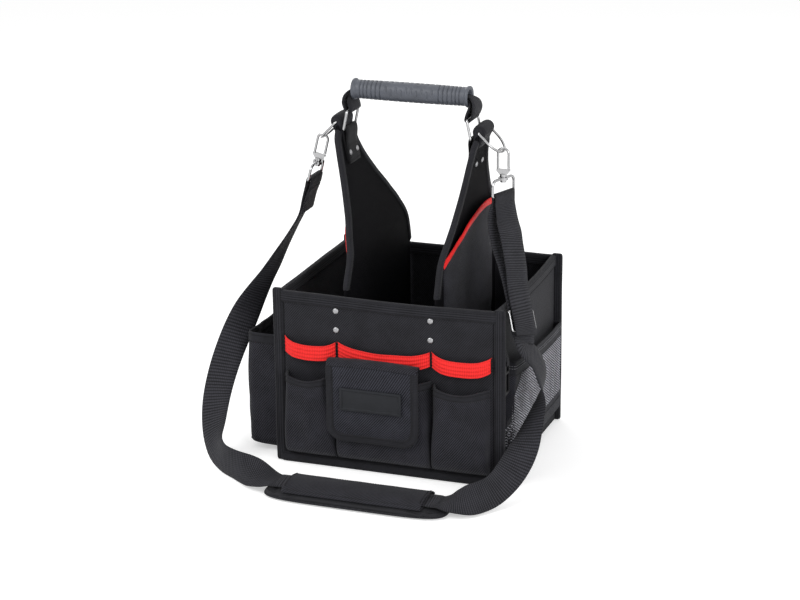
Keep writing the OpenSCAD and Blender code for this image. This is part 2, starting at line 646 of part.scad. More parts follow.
// ---------- shoulder strap ----------
// Each entry is a point on the strap's middle line and the direction of its width there.
bar_turn_r = eye_wire_r + gap + strap_t / 2;     // radius of the strap round a hook's eye
left_bar = [-bow_x - eye_drop * sin(hook_lean), handle_y, bow_z - eye_drop * cos(hook_lean)];
right_bar = [bow_x, handle_y, bow_z - eye_drop];
across_l = [0, 1, 0];
across_r = [sin(20), cos(20), 0];
out_l = [-cos(hook_lean), 0, sin(hook_lean)];    // away from the bag, square to the strap
out_r = [cos(20), -sin(20), 0];
down_l = [-sin(hook_lean), 0, -cos(hook_lean)];
down_r = [0, 0, -1];
slider_at = [171, -94, 220];
slider_dir = [-11, 12, 33] / norm([-11, 12, 33]);
slider_across = unit(across_r - (across_r * slider_dir) * slider_dir);
slider_out = cross(slider_across, slider_dir);
layer = 3.2;                                     // each layer's distance from the slider's middle

eye_straight = 12;       // length of strap that hangs square to the eye before it leans
function around_eye(bar, out, down, across) = concat([[bar - bar_turn_r * out + eye_straight * down, across]],
    [for (a = [180:-45:0]) [bar + bar_turn_r * (cos(a) * out - sin(a) * down), across]],
    [[bar + bar_turn_r * out + eye_straight * down, across]]);
left_tail = [[[-150, -28, 319], [0, 1, 0]], [[-144, -28, 341], [0, 1, 0]]];
left_turn = around_eye(left_bar, out_l, down_l, across_l);
left_run = [[[-148, -28, 342], [0, 1, 0]], [[-156, -29, 318], [-0.1, 0.99, 0]],
    [[-169, -33, 293], [-0.05, 0.99, 0]], [[-184, -37, 266], [0.1, 0.99, 0]],
    [[-197, -42, 241], [0.3, 0.95, 0.05]], [[-212, -50, 214], [0.5, 0.85, 0.1]], [[-226, -63, 184], [0.72, 0.68, 0.15]],
    [[-238, -82, 148], [0.87, 0.45, 0.18]], [[-246, -102, 112], [0.93, 0.3, 0.2]], [[-248, -124, 78], [0.93, 0.2, 0.3]],
    [[-243, -147, 49], [0.82, 0.12, 0.55]], [[-231, -172, 29], [0.45, 0.1, 0.88]], [[-210, -196, 22], [0.08, 0.1, 0.99]],
    [[-184, -213, 21], [0, 0.15, 0.98]], [[-160, -223, 20], [0, 0.5, 0.86]], [[-138, -228, 16], [0, 0.92, 0.4]],
    [[-121, -229, 14], [0, 1, 0]]];
floor_run = [[[-111, -229, 14], [0, 1, 0]], [[-60, -229, 14], [0, 1, 0]], [[0, -229, 14], [0, 1, 0]],
    [[55, -229, 14], [0, 1, 0]], [[99, -229, 14], [0, 1, 0]]];
right_run = [[[108, -229, 14], [0, 1, 0]], [[126, -228, 16], [-0.02, 0.92, 0.4]], [[148, -219, 20], [-0.1, 0.5, 0.86]],
    [[166, -198, 25], [-0.3, 0.25, 0.92]], [[178, -168, 38], [-0.5, 0.4, 0.77]], [[186, -136, 59], [-0.6, 0.6, 0.5]],
    [[191, -108, 86], [-0.58, 0.78, 0.22]], [[195, -88, 114], [-0.4, 0.9, 0.12]], [[195, -82, 140], [-0.05, 0.99, 0.1]],
    [[189, -89, 165], [0.03, 0.98, -0.05]]];
// along the slider and up to the eye; the second layer comes back down beside it
function beside_slider(k, side) = slider_at + k * slider_dir + side * layer * slider_out;
right_climb = [[beside_slider(-34, -1), [0.12, 0.96, -0.1]], [beside_slider(-22, -1), slider_across],
    [beside_slider(0, -1), slider_across], [beside_slider(40, -1), slider_across],
    [[144, -66, 282], across_r], [[129, -50, 308], across_r], [[120, -36, 334], across_r]];
right_turn = around_eye(right_bar, out_r, down_r, across_r);
right_return = [[[133, -36, 334], across_r], [[143, -52, 315], across_r], [[155, -70, 284], across_r],
    [beside_slider(40, 1), slider_across], [beside_slider(0, 1), slider_across], [beside_slider(-20, 1), slider_across]];
strap_route = concat(left_tail, left_turn, left_run, floor_run, right_run, right_climb, right_turn, right_return);

// Smooth curve through the route (Catmull-Rom), for points and for width directions.
function blend4(a, b, c, d, t) = 0.5 * (2 * b + (c - a) * t + (2 * a - 5 * b + 4 * c - d) * t * t
    + (3 * b - a - 3 * c + d) * t * t * t);
function pick(list, i) = list[max(0, min(len(list) - 1, i))];
function smooth(list, sub) = concat([for (i = [0:len(list) - 2], k = [0:sub - 1]) let (t = k / sub)
    [for (part = [0, 1]) blend4(pick(list, i - 1)[part], list[i][part], list[i + 1][part], pick(list, i + 2)[part], t)]],
    [list[len(list) - 1]]);
function unit(v) = v / norm(v);

module ribbon(route, w, t) {
    n = len(route);
    function along(i) = unit(pick(route, i + 1)[0] - pick(route, i - 1)[0]);
    function wide(i) = unit(route[i][1] - (route[i][1] * along(i)) * along(i));
    function thick(i) = cross(along(i), wide(i));
    points = [for (i = [0:n - 1], c = [[-1, -1], [1, -1], [1, 1], [-1, 1]])
        route[i][0] + c[0] * w / 2 * wide(i) + c[1] * t / 2 * thick(i)];
    sides = [for (i = [0:n - 2], k = [0:3], half = [0, 1]) let (a = 4 * i + k, b = 4 * i + (k + 1) % 4)
        half == 0 ? [a, b, b + 4] : [a, b + 4, a + 4]];
    polyhedron(points, concat(sides, [[0, 2, 1], [0, 3, 2]],
        [[4 * n - 4, 4 * n - 3, 4 * n - 2], [4 * n - 4, 4 * n - 2, 4 * n - 1]]));
}
module shoulder_strap() {
    color(black) ribbon(smooth(strap_route, 2), strap_w, strap_t);
}
module strap_slider() {
    half = strap_w / 2 + 2.4;
    high = 26;
    color(nickel) multmatrix([[slider_out[0], slider_across[0], slider_dir[0], slider_at[0]],
        [slider_out[1], slider_across[1], slider_dir[1], slider_at[1]],
        [slider_out[2], slider_across[2], slider_dir[2], slider_at[2]]]) translate([0, 0, -high / 2]) {
            wire_frame(half, high, 1.6, 3);
            rod(1.6, [-half, high / 2], [half, high / 2]);
        }
}
pad_x = -6;
pad_y = -229;
// Plan of the pad: straight sides and drawn-in round ends.
function pad_half(u) = let (e = max(0, abs(u) - (pad_len / 2 - pad_w * 0.6)) / (pad_w * 0.6))
    pad_w / 2 * sqrt(max(0.001, 1 - pow(e, 2.6)));
module shoulder_pad() {
    // a crowned cushion: thick in the middle, thin at its bound edge, flat underneath
    steps = 30;
    across = [-1, -0.93, -0.7, -0.35, 0, 0.35, 0.7, 0.93, 1];
    edge = 4;
    us = [for (i = [0:steps]) (i / steps - 0.5) * pad_len * (1 - 0.0005)];
    function crown(v, half) = edge + (pad_t - edge) * min(1, pow(max(0, 1 - v * v), 0.5)) * min(1, half / (pad_w / 2));
    top = [for (u = us, v = across) [pad_x + u, pad_y + v * pad_half(u), crown(v, pad_half(u))]];
    low = [for (u = us, v = across) [pad_x + u, pad_y + v * (pad_half(u) - 1.5 * min(1, pad_half(u) / 10)), 0]];
    m = len(across);
    n = steps + 1;
    off = n * m;
    function quad(a, b, c, d) = [[a, b, c], [a, c, d]];
    faces = concat(
        [for (i = [0:n - 2], j = [0:m - 2]) each quad(i * m + j, i * m + j + 1, (i + 1) * m + j + 1, (i + 1) * m + j)],
        [for (i = [0:n - 2], j = [0:m - 2]) each quad(off + i * m + j, off + (i + 1) * m + j, off + (i + 1) * m + j + 1, off + i * m + j + 1)],
        [for (i = [0:n - 2]) each quad(i * m, (i + 1) * m, off + (i + 1) * m, off + i * m)],
        [for (i = [0:n - 2]) each quad(i * m + m - 1, off + i * m + m - 1, off + (i + 1) * m + m - 1, (i + 1) * m + m - 1)],
        [for (j = [0:m - 2]) each quad(j, off + j, off + j + 1, j + 1)],
        [for (j = [0:m - 2]) each quad((n - 1) * m + j, (n - 1) * m + j + 1, off + (n - 1) * m + j + 1, off + (n - 1) * m + j)]);
    color(black) polyhedron(concat(top, low), faces);
}
module pad_sleeve() {
    // the tunnel on the pad that the strap runs through
    len_s = 190;
    half = 31;
    z1 = 19;
    color(charcoal) translate([pad_x - len_s / 2, pad_y, 0]) rotate([90, 0, 90]) linear_extrude(len_s) difference() {
        polygon([[-half, 9.5], [-half + 5, z1 - 3], [-half + 9, z1], [half - 9, z1], [half - 5, z1 - 3], [half, 9.5],
            [half - 3, 9.5], [strap_w / 2 + 4, pad_t + 0.4], [-strap_w / 2 - 4, pad_t + 0.4], [-half + 3, 9.5]]);
        polygon([[-strap_w / 2 - 1, 12.6], [strap_w / 2 + 1, 12.6], [strap_w / 2 + 1, 15.4], [-strap_w / 2 - 1, 15.4]]);
    }
}

base_panel();
front_wall();
back_wall();
left_wall();
right_wall();
corner_bindings();
rim_bindings();
foot_bands();
wing(true);  // wing_left
wing(false);  // wing_right
wing_pocket(true);  // wing_pocket_left
wing_pocket(false);  // wing_pocket_right
ring_tab(true);  // ring_tab_left
ring_tab(false);  // ring_tab_right
tab_rivets();
divider_rivets();
tool_band();
front_pocket_left();
front_pocket_center();
front_pocket_right();
flap_fold();
flap();
flap_patch();
flap_hook_tape();
flap_loop_tape();
side_pocket_left();
mesh_pocket_frame();
mesh_net();
back_pocket(true);  // back_pocket_left
back_pocket(false);  // back_pocket_right
tape_loop();
clip_tab();
side_clip();
rect_ring(true);  // ring_left
rect_ring(false);  // ring_right
handle_webbing();
grip();
d_ring(true);  // d_ring_left
d_ring(false);  // d_ring_right
hook_body(true);  // hook_body_left
hook_body(false);  // hook_body_right
hook_gate(true);  // hook_gate_left
hook_gate(false);  // hook_gate_right
hook_eye(true);  // hook_eye_left
hook_eye(false);  // hook_eye_right
shoulder_strap();
strap_slider();
shoulder_pad();
pad_sleeve();
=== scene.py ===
import functools
import json
import math

import bpy
from mathutils import Matrix, Vector, noise


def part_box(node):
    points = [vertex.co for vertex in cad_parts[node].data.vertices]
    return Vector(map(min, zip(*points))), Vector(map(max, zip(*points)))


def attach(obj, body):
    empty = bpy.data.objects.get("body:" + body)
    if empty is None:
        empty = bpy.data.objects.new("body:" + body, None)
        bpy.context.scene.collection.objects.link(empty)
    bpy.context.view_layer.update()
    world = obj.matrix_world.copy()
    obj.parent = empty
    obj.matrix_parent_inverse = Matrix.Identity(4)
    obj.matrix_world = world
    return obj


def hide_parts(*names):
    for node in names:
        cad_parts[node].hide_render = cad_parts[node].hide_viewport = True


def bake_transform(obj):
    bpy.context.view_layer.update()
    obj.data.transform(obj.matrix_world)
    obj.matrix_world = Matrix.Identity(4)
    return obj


mm = 0.001
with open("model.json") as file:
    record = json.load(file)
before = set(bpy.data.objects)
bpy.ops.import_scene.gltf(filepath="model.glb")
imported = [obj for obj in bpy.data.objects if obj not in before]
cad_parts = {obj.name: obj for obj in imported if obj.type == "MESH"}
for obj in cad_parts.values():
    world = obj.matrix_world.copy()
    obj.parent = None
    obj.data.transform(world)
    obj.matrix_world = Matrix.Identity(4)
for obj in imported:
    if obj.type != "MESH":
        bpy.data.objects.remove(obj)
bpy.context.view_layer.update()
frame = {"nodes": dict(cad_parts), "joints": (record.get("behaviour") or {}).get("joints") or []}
nodes = frame["nodes"]
print("frame loaded:", len(nodes), "nodes")

cameraSetup = {
    "place": (0.9855, -2.7620, 1.1712),
    "azimuth": 20.18,
    "elevation": 18.32,
    "roll": -0.65,
    "lens": 103.6,
}


def addCamera(setup):
    az, el, roll = (math.radians(setup[k]) for k in ("azimuth", "elevation", "roll"))
    back = Vector((math.sin(az) * math.cos(el), -math.cos(az) * math.cos(el), math.sin(el)))
    right = Vector((math.cos(az), math.sin(az), 0))
    up = back.cross(right)
    turnedRight = math.cos(roll) * right + math.sin(roll) * up
    turnedUp = -math.sin(roll) * right + math.cos(roll) * up
    data = bpy.data.cameras.new("camera")
    data.lens = setup["lens"]
    data.clip_end = 50
    camera = bpy.data.objects.new("camera", data)
    bpy.context.scene.collection.objects.link(camera)
    axes = Matrix((turnedRight, turnedUp, back)).transposed().to_4x4()
    camera.matrix_world = Matrix.Translation(setup["place"]) @ axes
    bpy.context.scene.camera = camera


addCamera(cameraSetup)


def deselectAll():
    bpy.ops.object.select_all(action="DESELECT")


def makeActive(piece):
    deselectAll()
    piece.select_set(True)
    bpy.context.view_layer.objects.active = piece


def smoothStep(a, b, x):
    t = max(0.0, min(1.0, (x - a) / (b - a)))
    return t * t * (3 - 2 * t)


def mix(a, b, t):
    return a + (b - a) * t


def ripple(x, y, z, size, seed=0.0):
    return noise.noise(Vector((x / size + seed, y / size - seed, z / size + 2 * seed)))


# The smooth curve through four neighbours, at the part f of the way from the second to the third.
def curve(p, q, r, s, f):
    return 0.5 * (2 * q + (r - p) * f + (2 * p - 5 * q + 4 * r - s) * f * f + (3 * q - p - 3 * r + s) * f ** 3)


def throughPoints(points, t):
    n = len(points) - 1
    i = min(int(t * n), n - 1)
    near = (points[max(0, min(n, k))] for k in (i - 1, i, i + 1, i + 2))
    return tuple(curve(*spots, t * n - i) for spots in zip(*near))


def atHeight(points, h):
    last = len(points) - 1
    for i in range(last):
        if points[i][0] <= h <= points[i + 1][0]:
            near = (points[max(0, min(last, k))][1] for k in (i - 1, i, i + 1, i + 2))
            return curve(*near, (h - points[i][0]) / (points[i + 1][0] - points[i][0]))
    return points[0 if h < points[0][0] else -1][1]


# Turns a closed mesh's faces outward, where the sum over its faces says that they look inward.
def faceOutward(mesh):
    total = 0.0
    for face in mesh.polygons:
        a, *rest = (mesh.vertices[i].co for i in face.vertices)
        total += sum(a.dot(b.cross(c)) for b, c in zip(rest, rest[1:]))
    if total < 0:
        mesh.flip_normals()


# A grid laid through place(u, v), in mm. Its thickness goes inward, and closed grids are welded where they meet.
def shapedGrid(name, cols, rows, place, span, thick=0.0, level=1, closed=False, body="root", ease=1.0):
    deselectAll()
    bpy.ops.mesh.primitive_grid_add(x_subdivisions=cols, y_subdivisions=rows, size=2)
    piece = bpy.context.active_object
    mesh = piece.data
    piece.name = mesh.name = name
    places = [((v.co.x + 1) / 2, max(0.0, (v.co.y + 1) / 2) ** ease) for v in mesh.vertices]
    layer = mesh.uv_layers.active or mesh.uv_layers.new(name="UVMap")
    for loop in mesh.loops:
        u, v = places[loop.vertex_index]
        layer.data[loop.index].uv = (u * span[0], v * span[1])
    for vert, (u, v) in zip(mesh.vertices, places):
        vert.co = Vector(place(u, v)) * mm
    makeActive(piece)
    if closed:
        bpy.ops.object.mode_set(mode="EDIT")
        bpy.ops.mesh.select_all(action="SELECT")
        bpy.ops.mesh.remove_doubles(threshold=1e-6)
        bpy.ops.mesh.normals_make_consistent(inside=False)
        bpy.ops.object.mode_set(mode="OBJECT")
        if not thick:
            faceOutward(mesh)
    if thick:
        wall = piece.modifiers.new("wall", "SOLIDIFY")
        wall.thickness = thick * mm
        wall.use_even_offset = True
        bpy.ops.object.modifier_apply(modifier="wall")
    if level:
        soft = piece.modifiers.new("soft", "SUBSURF")
        soft.levels = soft.render_levels = level
        bpy.ops.object.modifier_apply(modifier="soft")
    bpy.ops.object.shade_smooth()
    if body:
        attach(piece, body)
    return piece


# A bevelled box, size in mm.
def bevelledBox(name, size, bevel, segments):
    deselectAll()
    bpy.ops.mesh.primitive_cube_add(size=1)
    box = bpy.context.active_object
    box.name = name
    bpy.ops.object.mode_set(mode="EDIT")
    bpy.ops.mesh.select_all(action="SELECT")
    bpy.ops.transform.resize(value=tuple(size * mm))
    bpy.ops.mesh.bevel(offset=bevel * mm, segments=segments, affect="EDGES")
    bpy.ops.object.mode_set(mode="OBJECT")
    return box


def finishPiece(piece, look, *stoodFor, slotName=None):
    piece.data.materials.clear()
    piece.data.materials.append(finish[look])
    if stoodFor:
        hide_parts(*stoodFor)
    return piece


# A closed bar: its section of (across, out) points goes along frameAt(t), which gives centre, across, out.
def sweep(name, section, frameAt, rows, length, body="root"):
    ring = len(section)
    girth = sum(math.dist(section[k - 1], section[k]) for k in range(ring))
    last = rows + 2

    def place(u, v):
        row = round(v * last)
        centre, across, out = frameAt(max(0, min(rows, row - 1)) / rows)
        a, b = section[round(u * ring) % ring]
        grow = 0 if row in (0, last) else 1
        return centre + (across * a + out * b) * grow

    return shapedGrid(name, ring, last, place, (girth * mm, length * mm), closed=True, body=body)


def roundedBar(width, height, corner):
    points = []
    for cx, cy, start in ((1, -1, -90), (1, 1, 0), (-1, 1, 90), (-1, -1, 180)):
        for a in (math.radians(start + 30 * k) for k in range(4)):
            points.append((cx * (width / 2 - corner) + corner * math.cos(a),
                           cy * (height / 2 - corner) + corner * math.sin(a)))
    return points


# A flat strip of webbing through points, each with the direction of its width.
def ribbon(name, route, width, thick, sub, body="root", widthAt=None):
    points, widths = zip(*route)
    count = (len(route) - 1) * sub + 1
    centres = [Vector(throughPoints(points, k / (count - 1))) for k in range(count)]
    across = [Vector(throughPoints(widths, k / (count - 1))) for k in range(count)]
    length = sum((centres[k + 1] - centres[k]).length for k in range(count - 1))
    frames = []
    for k in range(count):
        along = (centres[min(count - 1, k + 1)] - centres[max(0, k - 1)]).normalized()
        side = (across[k] - across[k].dot(along) * along).normalized()
        frames.append((centres[k], side, along.cross(side)))
    half = width / 2
    edge = half - thick * 0.35
    lower = [(-half, 0)] + [(a, -thick / 2) for a in (-edge, -half / 2, 0, half / 2, edge)]
    section = lower + [(-a, -b) for a, b in lower]
    ring = len(section)

    def place(u, v):
        k = min(count - 1, int(round(v * (count - 1))))
        centre, side, out = frames[k]
        a, b = section[int(round(u * ring)) % ring]
        if k in (0, count - 1):
            b = 0
        if widthAt:
            a *= widthAt(k / (count - 1))
        return centre + side * a + out * b

    piece = shapedGrid(name, ring, count - 1, place, (2 * width * mm, length * mm), level=0, closed=True, body=body)
    return piece, centres, length


# Fills a node: its inputs by name or by place, with values or other nodes' outputs. Other names are its settings.
def fillNode(node, *inputs, **named):
    for key, value in [*named.items(), *enumerate(inputs)]:
        name = key.replace("_", " ") if key in named else key
        if key in named and name not in node.inputs:
            setattr(node, key, value)
        elif isinstance(value, bpy.types.NodeSocket):
            node.id_data.links.new(value, node.inputs[name])
        else:
            node.inputs[name].default_value = value


def addNode(tree, kind, output, *inputs, **named):
    node = tree.nodes.new(kind)
    fillNode(node, *inputs, **named)
    return node.outputs[output] if output else node


def addRamp(add, factor, dark, pale, start=0.0, end=1.0):
    ramp = add("ShaderNodeValToRGB", None, factor)
    for stop, colour, position in zip(ramp.color_ramp.elements, (dark, pale), (start, end)):
        stop.color, stop.position = (*colour, 1), position
    return ramp.outputs["Color"]


def newMaterial(name, colour, roughness, **more):
    material = bpy.data.materials.new(name)
    material.use_nodes = True
    shader = material.node_tree.nodes["Principled BSDF"]
    fillNode(shader, Base_Color=(*colour, 1), Roughness=roughness, **more)
    return material, shader, functools.partial(addNode, material.node_tree)


def bandScale(period):
    return math.pi / 10 / period  # the wave node's scale for bands that far apart, in metres


# Woven fabric: two crossing sets of threads, with fluff on them and worn and dusty places.
def fabricMaterial(name, colour, fine, coarse, lift, roughness=0.85, byUv=True, depth=0.0004, slant=0.0, light=1.9,
                   wear=0.35, sheen=0.05, gloss=0.13):
    material, shader, add = newMaterial(name, colour, roughness, Sheen_Weight=sheen, Sheen_Roughness=0.5,
                                        Specular_IOR_Level=gloss)
    coords = add("ShaderNodeTexCoord", None).outputs
    turned = add("ShaderNodeMapping", "Vector", Vector=coords["UV" if byUv else "Object"],
                 Rotation=(0, 0, math.radians(slant)))
    warp, weft = (add("ShaderNodeTexWave", "Fac", Vector=turned, Scale=bandScale(period), Distortion=0.6, Detail=1.0,
                      bands_direction=direction) for direction, period in (("X", fine), ("Y", coarse)))
    crossing = add("ShaderNodeMapRange", "Result", Value=weft, To_Min=0.35)
    weave = add("ShaderNodeMath", "Value", warp, crossing, operation="MULTIPLY")
    cloud = add("ShaderNodeTexNoise", "Fac", Vector=coords["Object"], Scale=38.0, Detail=5.0, Roughness=0.6)
    fluff = add("ShaderNodeTexNoise", "Fac", Vector=coords["Object"], Scale=1400.0, Detail=2.0)
    blend = add("ShaderNodeMath", "Value", weave, 1.3, cloud, operation="MULTIPLY_ADD")
    spread = add("ShaderNodeMath", "Value", blend, 0.6, operation="MULTIPLY")
    shade = addRamp(add, spread, [c * (1 - wear) for c in colour], [min(1, c * light + 0.004) for c in colour], 0.26, 0.86)
    rough = add("ShaderNodeMapRange", "Result", Value=cloud, To_Min=roughness - 0.12, To_Max=min(1, roughness + 0.1))
    height = add("ShaderNodeMath", "Value", fluff, 0.3, weave, operation="MULTIPLY_ADD")
    bump = add("ShaderNodeBump", "Normal", Height=height, Strength=lift, Distance=depth)
    fillNode(shader, Base_Color=shade, Roughness=rough, Normal=bump)
    return material


# Webbing: ribs across the strip, a little slanted.
def webbingMaterial(name, colour, rib=0.0026, light=2.8):
    return fabricMaterial(name, colour, rib, 0.0017, 0.9, roughness=0.75, depth=0.0006, light=light, wear=0.5, slant=84.0)


def metalMaterial(name, colour, roughness):
    material, shader, add = newMaterial(name, colour, roughness, Metallic=1.0)
    smear = add("ShaderNodeTexNoise", "Fac", Vector=add("ShaderNodeTexCoord", "Object"), Scale=160.0, Detail=4.0)
    rough = add("ShaderNodeMapRange", "Result", Value=smear, To_Min=roughness * 0.6, To_Max=roughness * 1.7)
    tint = addRamp(add, smear, [c * 0.86 for c in colour], [min(1, c * 1.06) for c in colour])
    bump = add("ShaderNodeBump", "Normal", Height=smear, Strength=0.15, Distance=0.0002)
    fillNode(shader, Base_Color=tint, Roughness=rough, Normal=bump)
    return material


def plasticMaterial(name, colour, roughness, lift=0.2, gloss=0.5):
    material, shader, add = newMaterial(name, colour, roughness, Specular_IOR_Level=gloss)
    place = add("ShaderNodeTexCoord", "Object")
    cloud = add("ShaderNodeTexNoise", "Fac", Vector=place, Scale=55.0, Detail=4.0)
    speck = add("ShaderNodeTexNoise", "Fac", Vector=place, Scale=900.0, Detail=2.0)
    tint = addRamp(add, cloud, [c * 0.65 for c in colour], [min(1, c * 1.35) for c in colour])
    rough = add("ShaderNodeMapRange", "Result", Value=speck, To_Min=roughness * 0.8, To_Max=min(1, roughness * 1.25))
    bump = add("ShaderNodeBump", "Normal", Height=speck, Strength=lift, Distance=0.0002)
    fillNode(shader, Base_Color=tint, Roughness=rough, Normal=bump)
    return material


# Net: bright and dark knitted courses, running down towards the back.
def netMaterial(name, pale, dark, course):
    material, shader, add = newMaterial(name, pale, 0.6, Sheen_Weight=0.1, Sheen_Roughness=0.5)
    place = add("ShaderNodeTexCoord", "Object")
    lean = add("ShaderNodeMapping", "Vector", Vector=place, Rotation=(math.atan(0.6), 0, 0))
    rows = add("ShaderNodeTexWave", "Fac", Vector=lean, Scale=bandScale(course * mm), Distortion=0.9, Detail=1.0,
               bands_direction="Z")
    twist = add("ShaderNodeTexNoise", "Fac", Vector=place, Scale=1500.0, Detail=2.0)
    bump = add("ShaderNodeBump", "Normal", Height=twist, Strength=0.5, Distance=0.0003)
    fillNode(shader, Base_Color=addRamp(add, rows, dark, pale, 0.3, 0.62), Normal=bump)
    return material


packcloth = {"roughness": 0.78, "depth": 0.0007, "slant": 40.0, "light": 3.0, "wear": 0.75}
yarn = {"roughness": 0.7, "byUv": False}
finish = {
    "wall": fabricMaterial("wall_fabric", (0.0095, 0.0095, 0.0118), 0.0024, 0.0014, 0.7, roughness=0.8, slant=40.0,
                           light=2.6, wear=0.55),
    # wing panels: a smooth dark fabric, with its colour darkened further to the painted shade of the wing's inner face
    # between the wings
    "panel": fabricMaterial("panel_fabric_painted_shade", (0.0026, 0.0025, 0.0033), 0.0009, 0.0009, 0.4, roughness=0.75, light=1.7,
                            sheen=0.0, gloss=0.03),
    "pocket": fabricMaterial("pocket_fabric", (0.0122, 0.0122, 0.016), 0.0026, 0.0015, 1.0, **packcloth),
    "flap": fabricMaterial("flap_fabric", (0.0142, 0.0146, 0.0195), 0.0026, 0.0015, 1.0, **packcloth),
    "hem": fabricMaterial("pocket_hem", (0.0115, 0.0115, 0.0142), 0.0012, 0.002, 0.8, roughness=0.8, light=2.4, wear=0.5),
    "binding": fabricMaterial("binding_tape", (0.0105, 0.0105, 0.013), 0.0011, 0.0018, 0.6, roughness=0.82, light=2.2,
                              wear=0.5),
    "webbing": webbingMaterial("strap_webbing", (0.0125, 0.0125, 0.0152)),
    "narrow": webbingMaterial("narrow_webbing", (0.0105, 0.0105, 0.013), rib=0.0019),
    "tab": webbingMaterial("tab_webbing", (0.0048, 0.0048, 0.006), rib=0.0019, light=2.2),
    "red": fabricMaterial("red_elastic", (0.88, 0.025, 0.023), 0.0024, 0.0011, 0.8, roughness=0.6, light=1.08, wear=0.25),
    "redTape": fabricMaterial("red_tape", (0.84, 0.022, 0.021), 0.001, 0.0014, 0.5, roughness=0.6, light=1.1, wear=0.22),
    "pad": fabricMaterial("pad_cover", (0.0095, 0.0095, 0.0115), 0.0009, 0.0009, 0.5, roughness=0.6, byUv=False),
    "sleeve": fabricMaterial("sleeve_cover", (0.0115, 0.0115, 0.0148), 0.0034, 0.002, 0.8, roughness=0.72, slant=50.0,
                             light=2.2, wear=0.6),
    "net": netMaterial("net_yarn", (0.56, 0.56, 0.62), (0.045, 0.045, 0.05), 3.1),
    "thread": fabricMaterial("stitch_thread", (0.005, 0.005, 0.006), 0.0006, 0.0006, 0.3, **yarn),
    "tack": fabricMaterial("tack_thread", (0.006, 0.006, 0.007), 0.0006, 0.0006, 0.3, **yarn),
    "paleThread": fabricMaterial("pale_thread", (0.12, 0.12, 0.13), 0.0006, 0.0006, 0.3, **yarn),
    "loopTape": fabricMaterial("loop_tape", (0.008, 0.008, 0.009), 0.0007, 0.0007, 1.0, roughness=1.0, byUv=False),
    "nickel": metalMaterial("bright_nickel", (0.4, 0.4, 0.405), 0.2),
    "rivet": metalMaterial("rivet_nickel", (0.36, 0.36, 0.37), 0.42),
    "grip": plasticMaterial("grip_rubber", (0.062, 0.068, 0.084), 0.48),
    "patch": plasticMaterial("patch_rubber", (0.0115, 0.0125, 0.0155), 0.5, gloss=0.22),
    "clip": plasticMaterial("clip_plastic", (0.005, 0.005, 0.006), 0.45, lift=0.05, gloss=0.12),
    "board": plasticMaterial("base_board", (0.01, 0.01, 0.011), 0.7, lift=0.5, gloss=0.2),
}
print("materials made:", len(finish))

jointAt = {j["name"]: Vector(j.get("pos_m", (0, 0, 0))) / mm for j in frame["joints"]}
handleY = jointAt["grip_twist"].y
strapSetup = {
    "width": 40,
    "thick": 1.8,
    "eyeDrop": 57,           # from the ring's bow to the eye's lower bar
    "turn": 3.1,             # radius of the strap round that bar
    "straight": 12,
    "lean": math.radians(14),
    "eyeTurn": math.radians(20),
    "slider": Vector((171, -94, 220)),
    "layer": 3.2,
}
leftRun = [
    ((-148, -28, 342), (0, 1, 0)), ((-156, -29, 318), (-0.1, 0.99, 0)), ((-169, -33, 293), (-0.05, 0.99, 0)),
    ((-184, -37, 266), (0.1, 0.99, 0)), ((-197, -42, 241), (0.3, 0.95, 0.05)), ((-212, -50, 214), (0.5, 0.85, 0.1)),
    ((-226, -63, 184), (0.72, 0.68, 0.15)), ((-238, -82, 148), (0.87, 0.45, 0.18)),
    ((-246, -102, 112), (0.93, 0.3, 0.2)), ((-248, -124, 78), (0.93, 0.2, 0.3)), ((-243, -147, 49), (0.82, 0.12, 0.55)),
    ((-231, -172, 29), (0.45, 0.1, 0.88)), ((-210, -196, 22), (0.08, 0.1, 0.99)), ((-184, -213, 21), (0, 0.15, 0.98)),
    ((-160, -223, 20), (0, 0.5, 0.86)), ((-138, -228, 16), (0, 0.92, 0.4)), ((-121, -229, 14), (0, 1, 0)),
]
floorRun = [((x, -229, 14), (0, 1, 0)) for x in (-111, -60, 0, 55, 99)]
rightRun = [
    ((108, -229, 14), (0, 1, 0)), ((126, -228, 16), (-0.02, 0.92, 0.4)), ((148, -219, 20), (-0.1, 0.5, 0.86)),
    ((166, -198, 25), (-0.3, 0.25, 0.92)), ((178, -168, 38), (-0.5, 0.4, 0.77)), ((186, -136, 59), (-0.6, 0.6, 0.5)),
    ((191, -108, 86), (-0.58, 0.78, 0.22)), ((195, -88, 114), (-0.4, 0.9, 0.12)), ((195, -82, 140), (-0.05, 0.99, 0.1)),
    ((189, -89, 165), (0.03, 0.98, -0.05)),
]


def roundEye(bar, out, down, across):
    r = strapSetup["turn"]
    drop = strapSetup["straight"] * down
    arc = [(bar + r * (math.cos(a) * out - math.sin(a) * down), across)
           for a in (math.radians(d) for d in range(180, -45, -45))]
    return [(bar - r * out + drop, across)] + arc + [(bar + r * out + drop, across)]


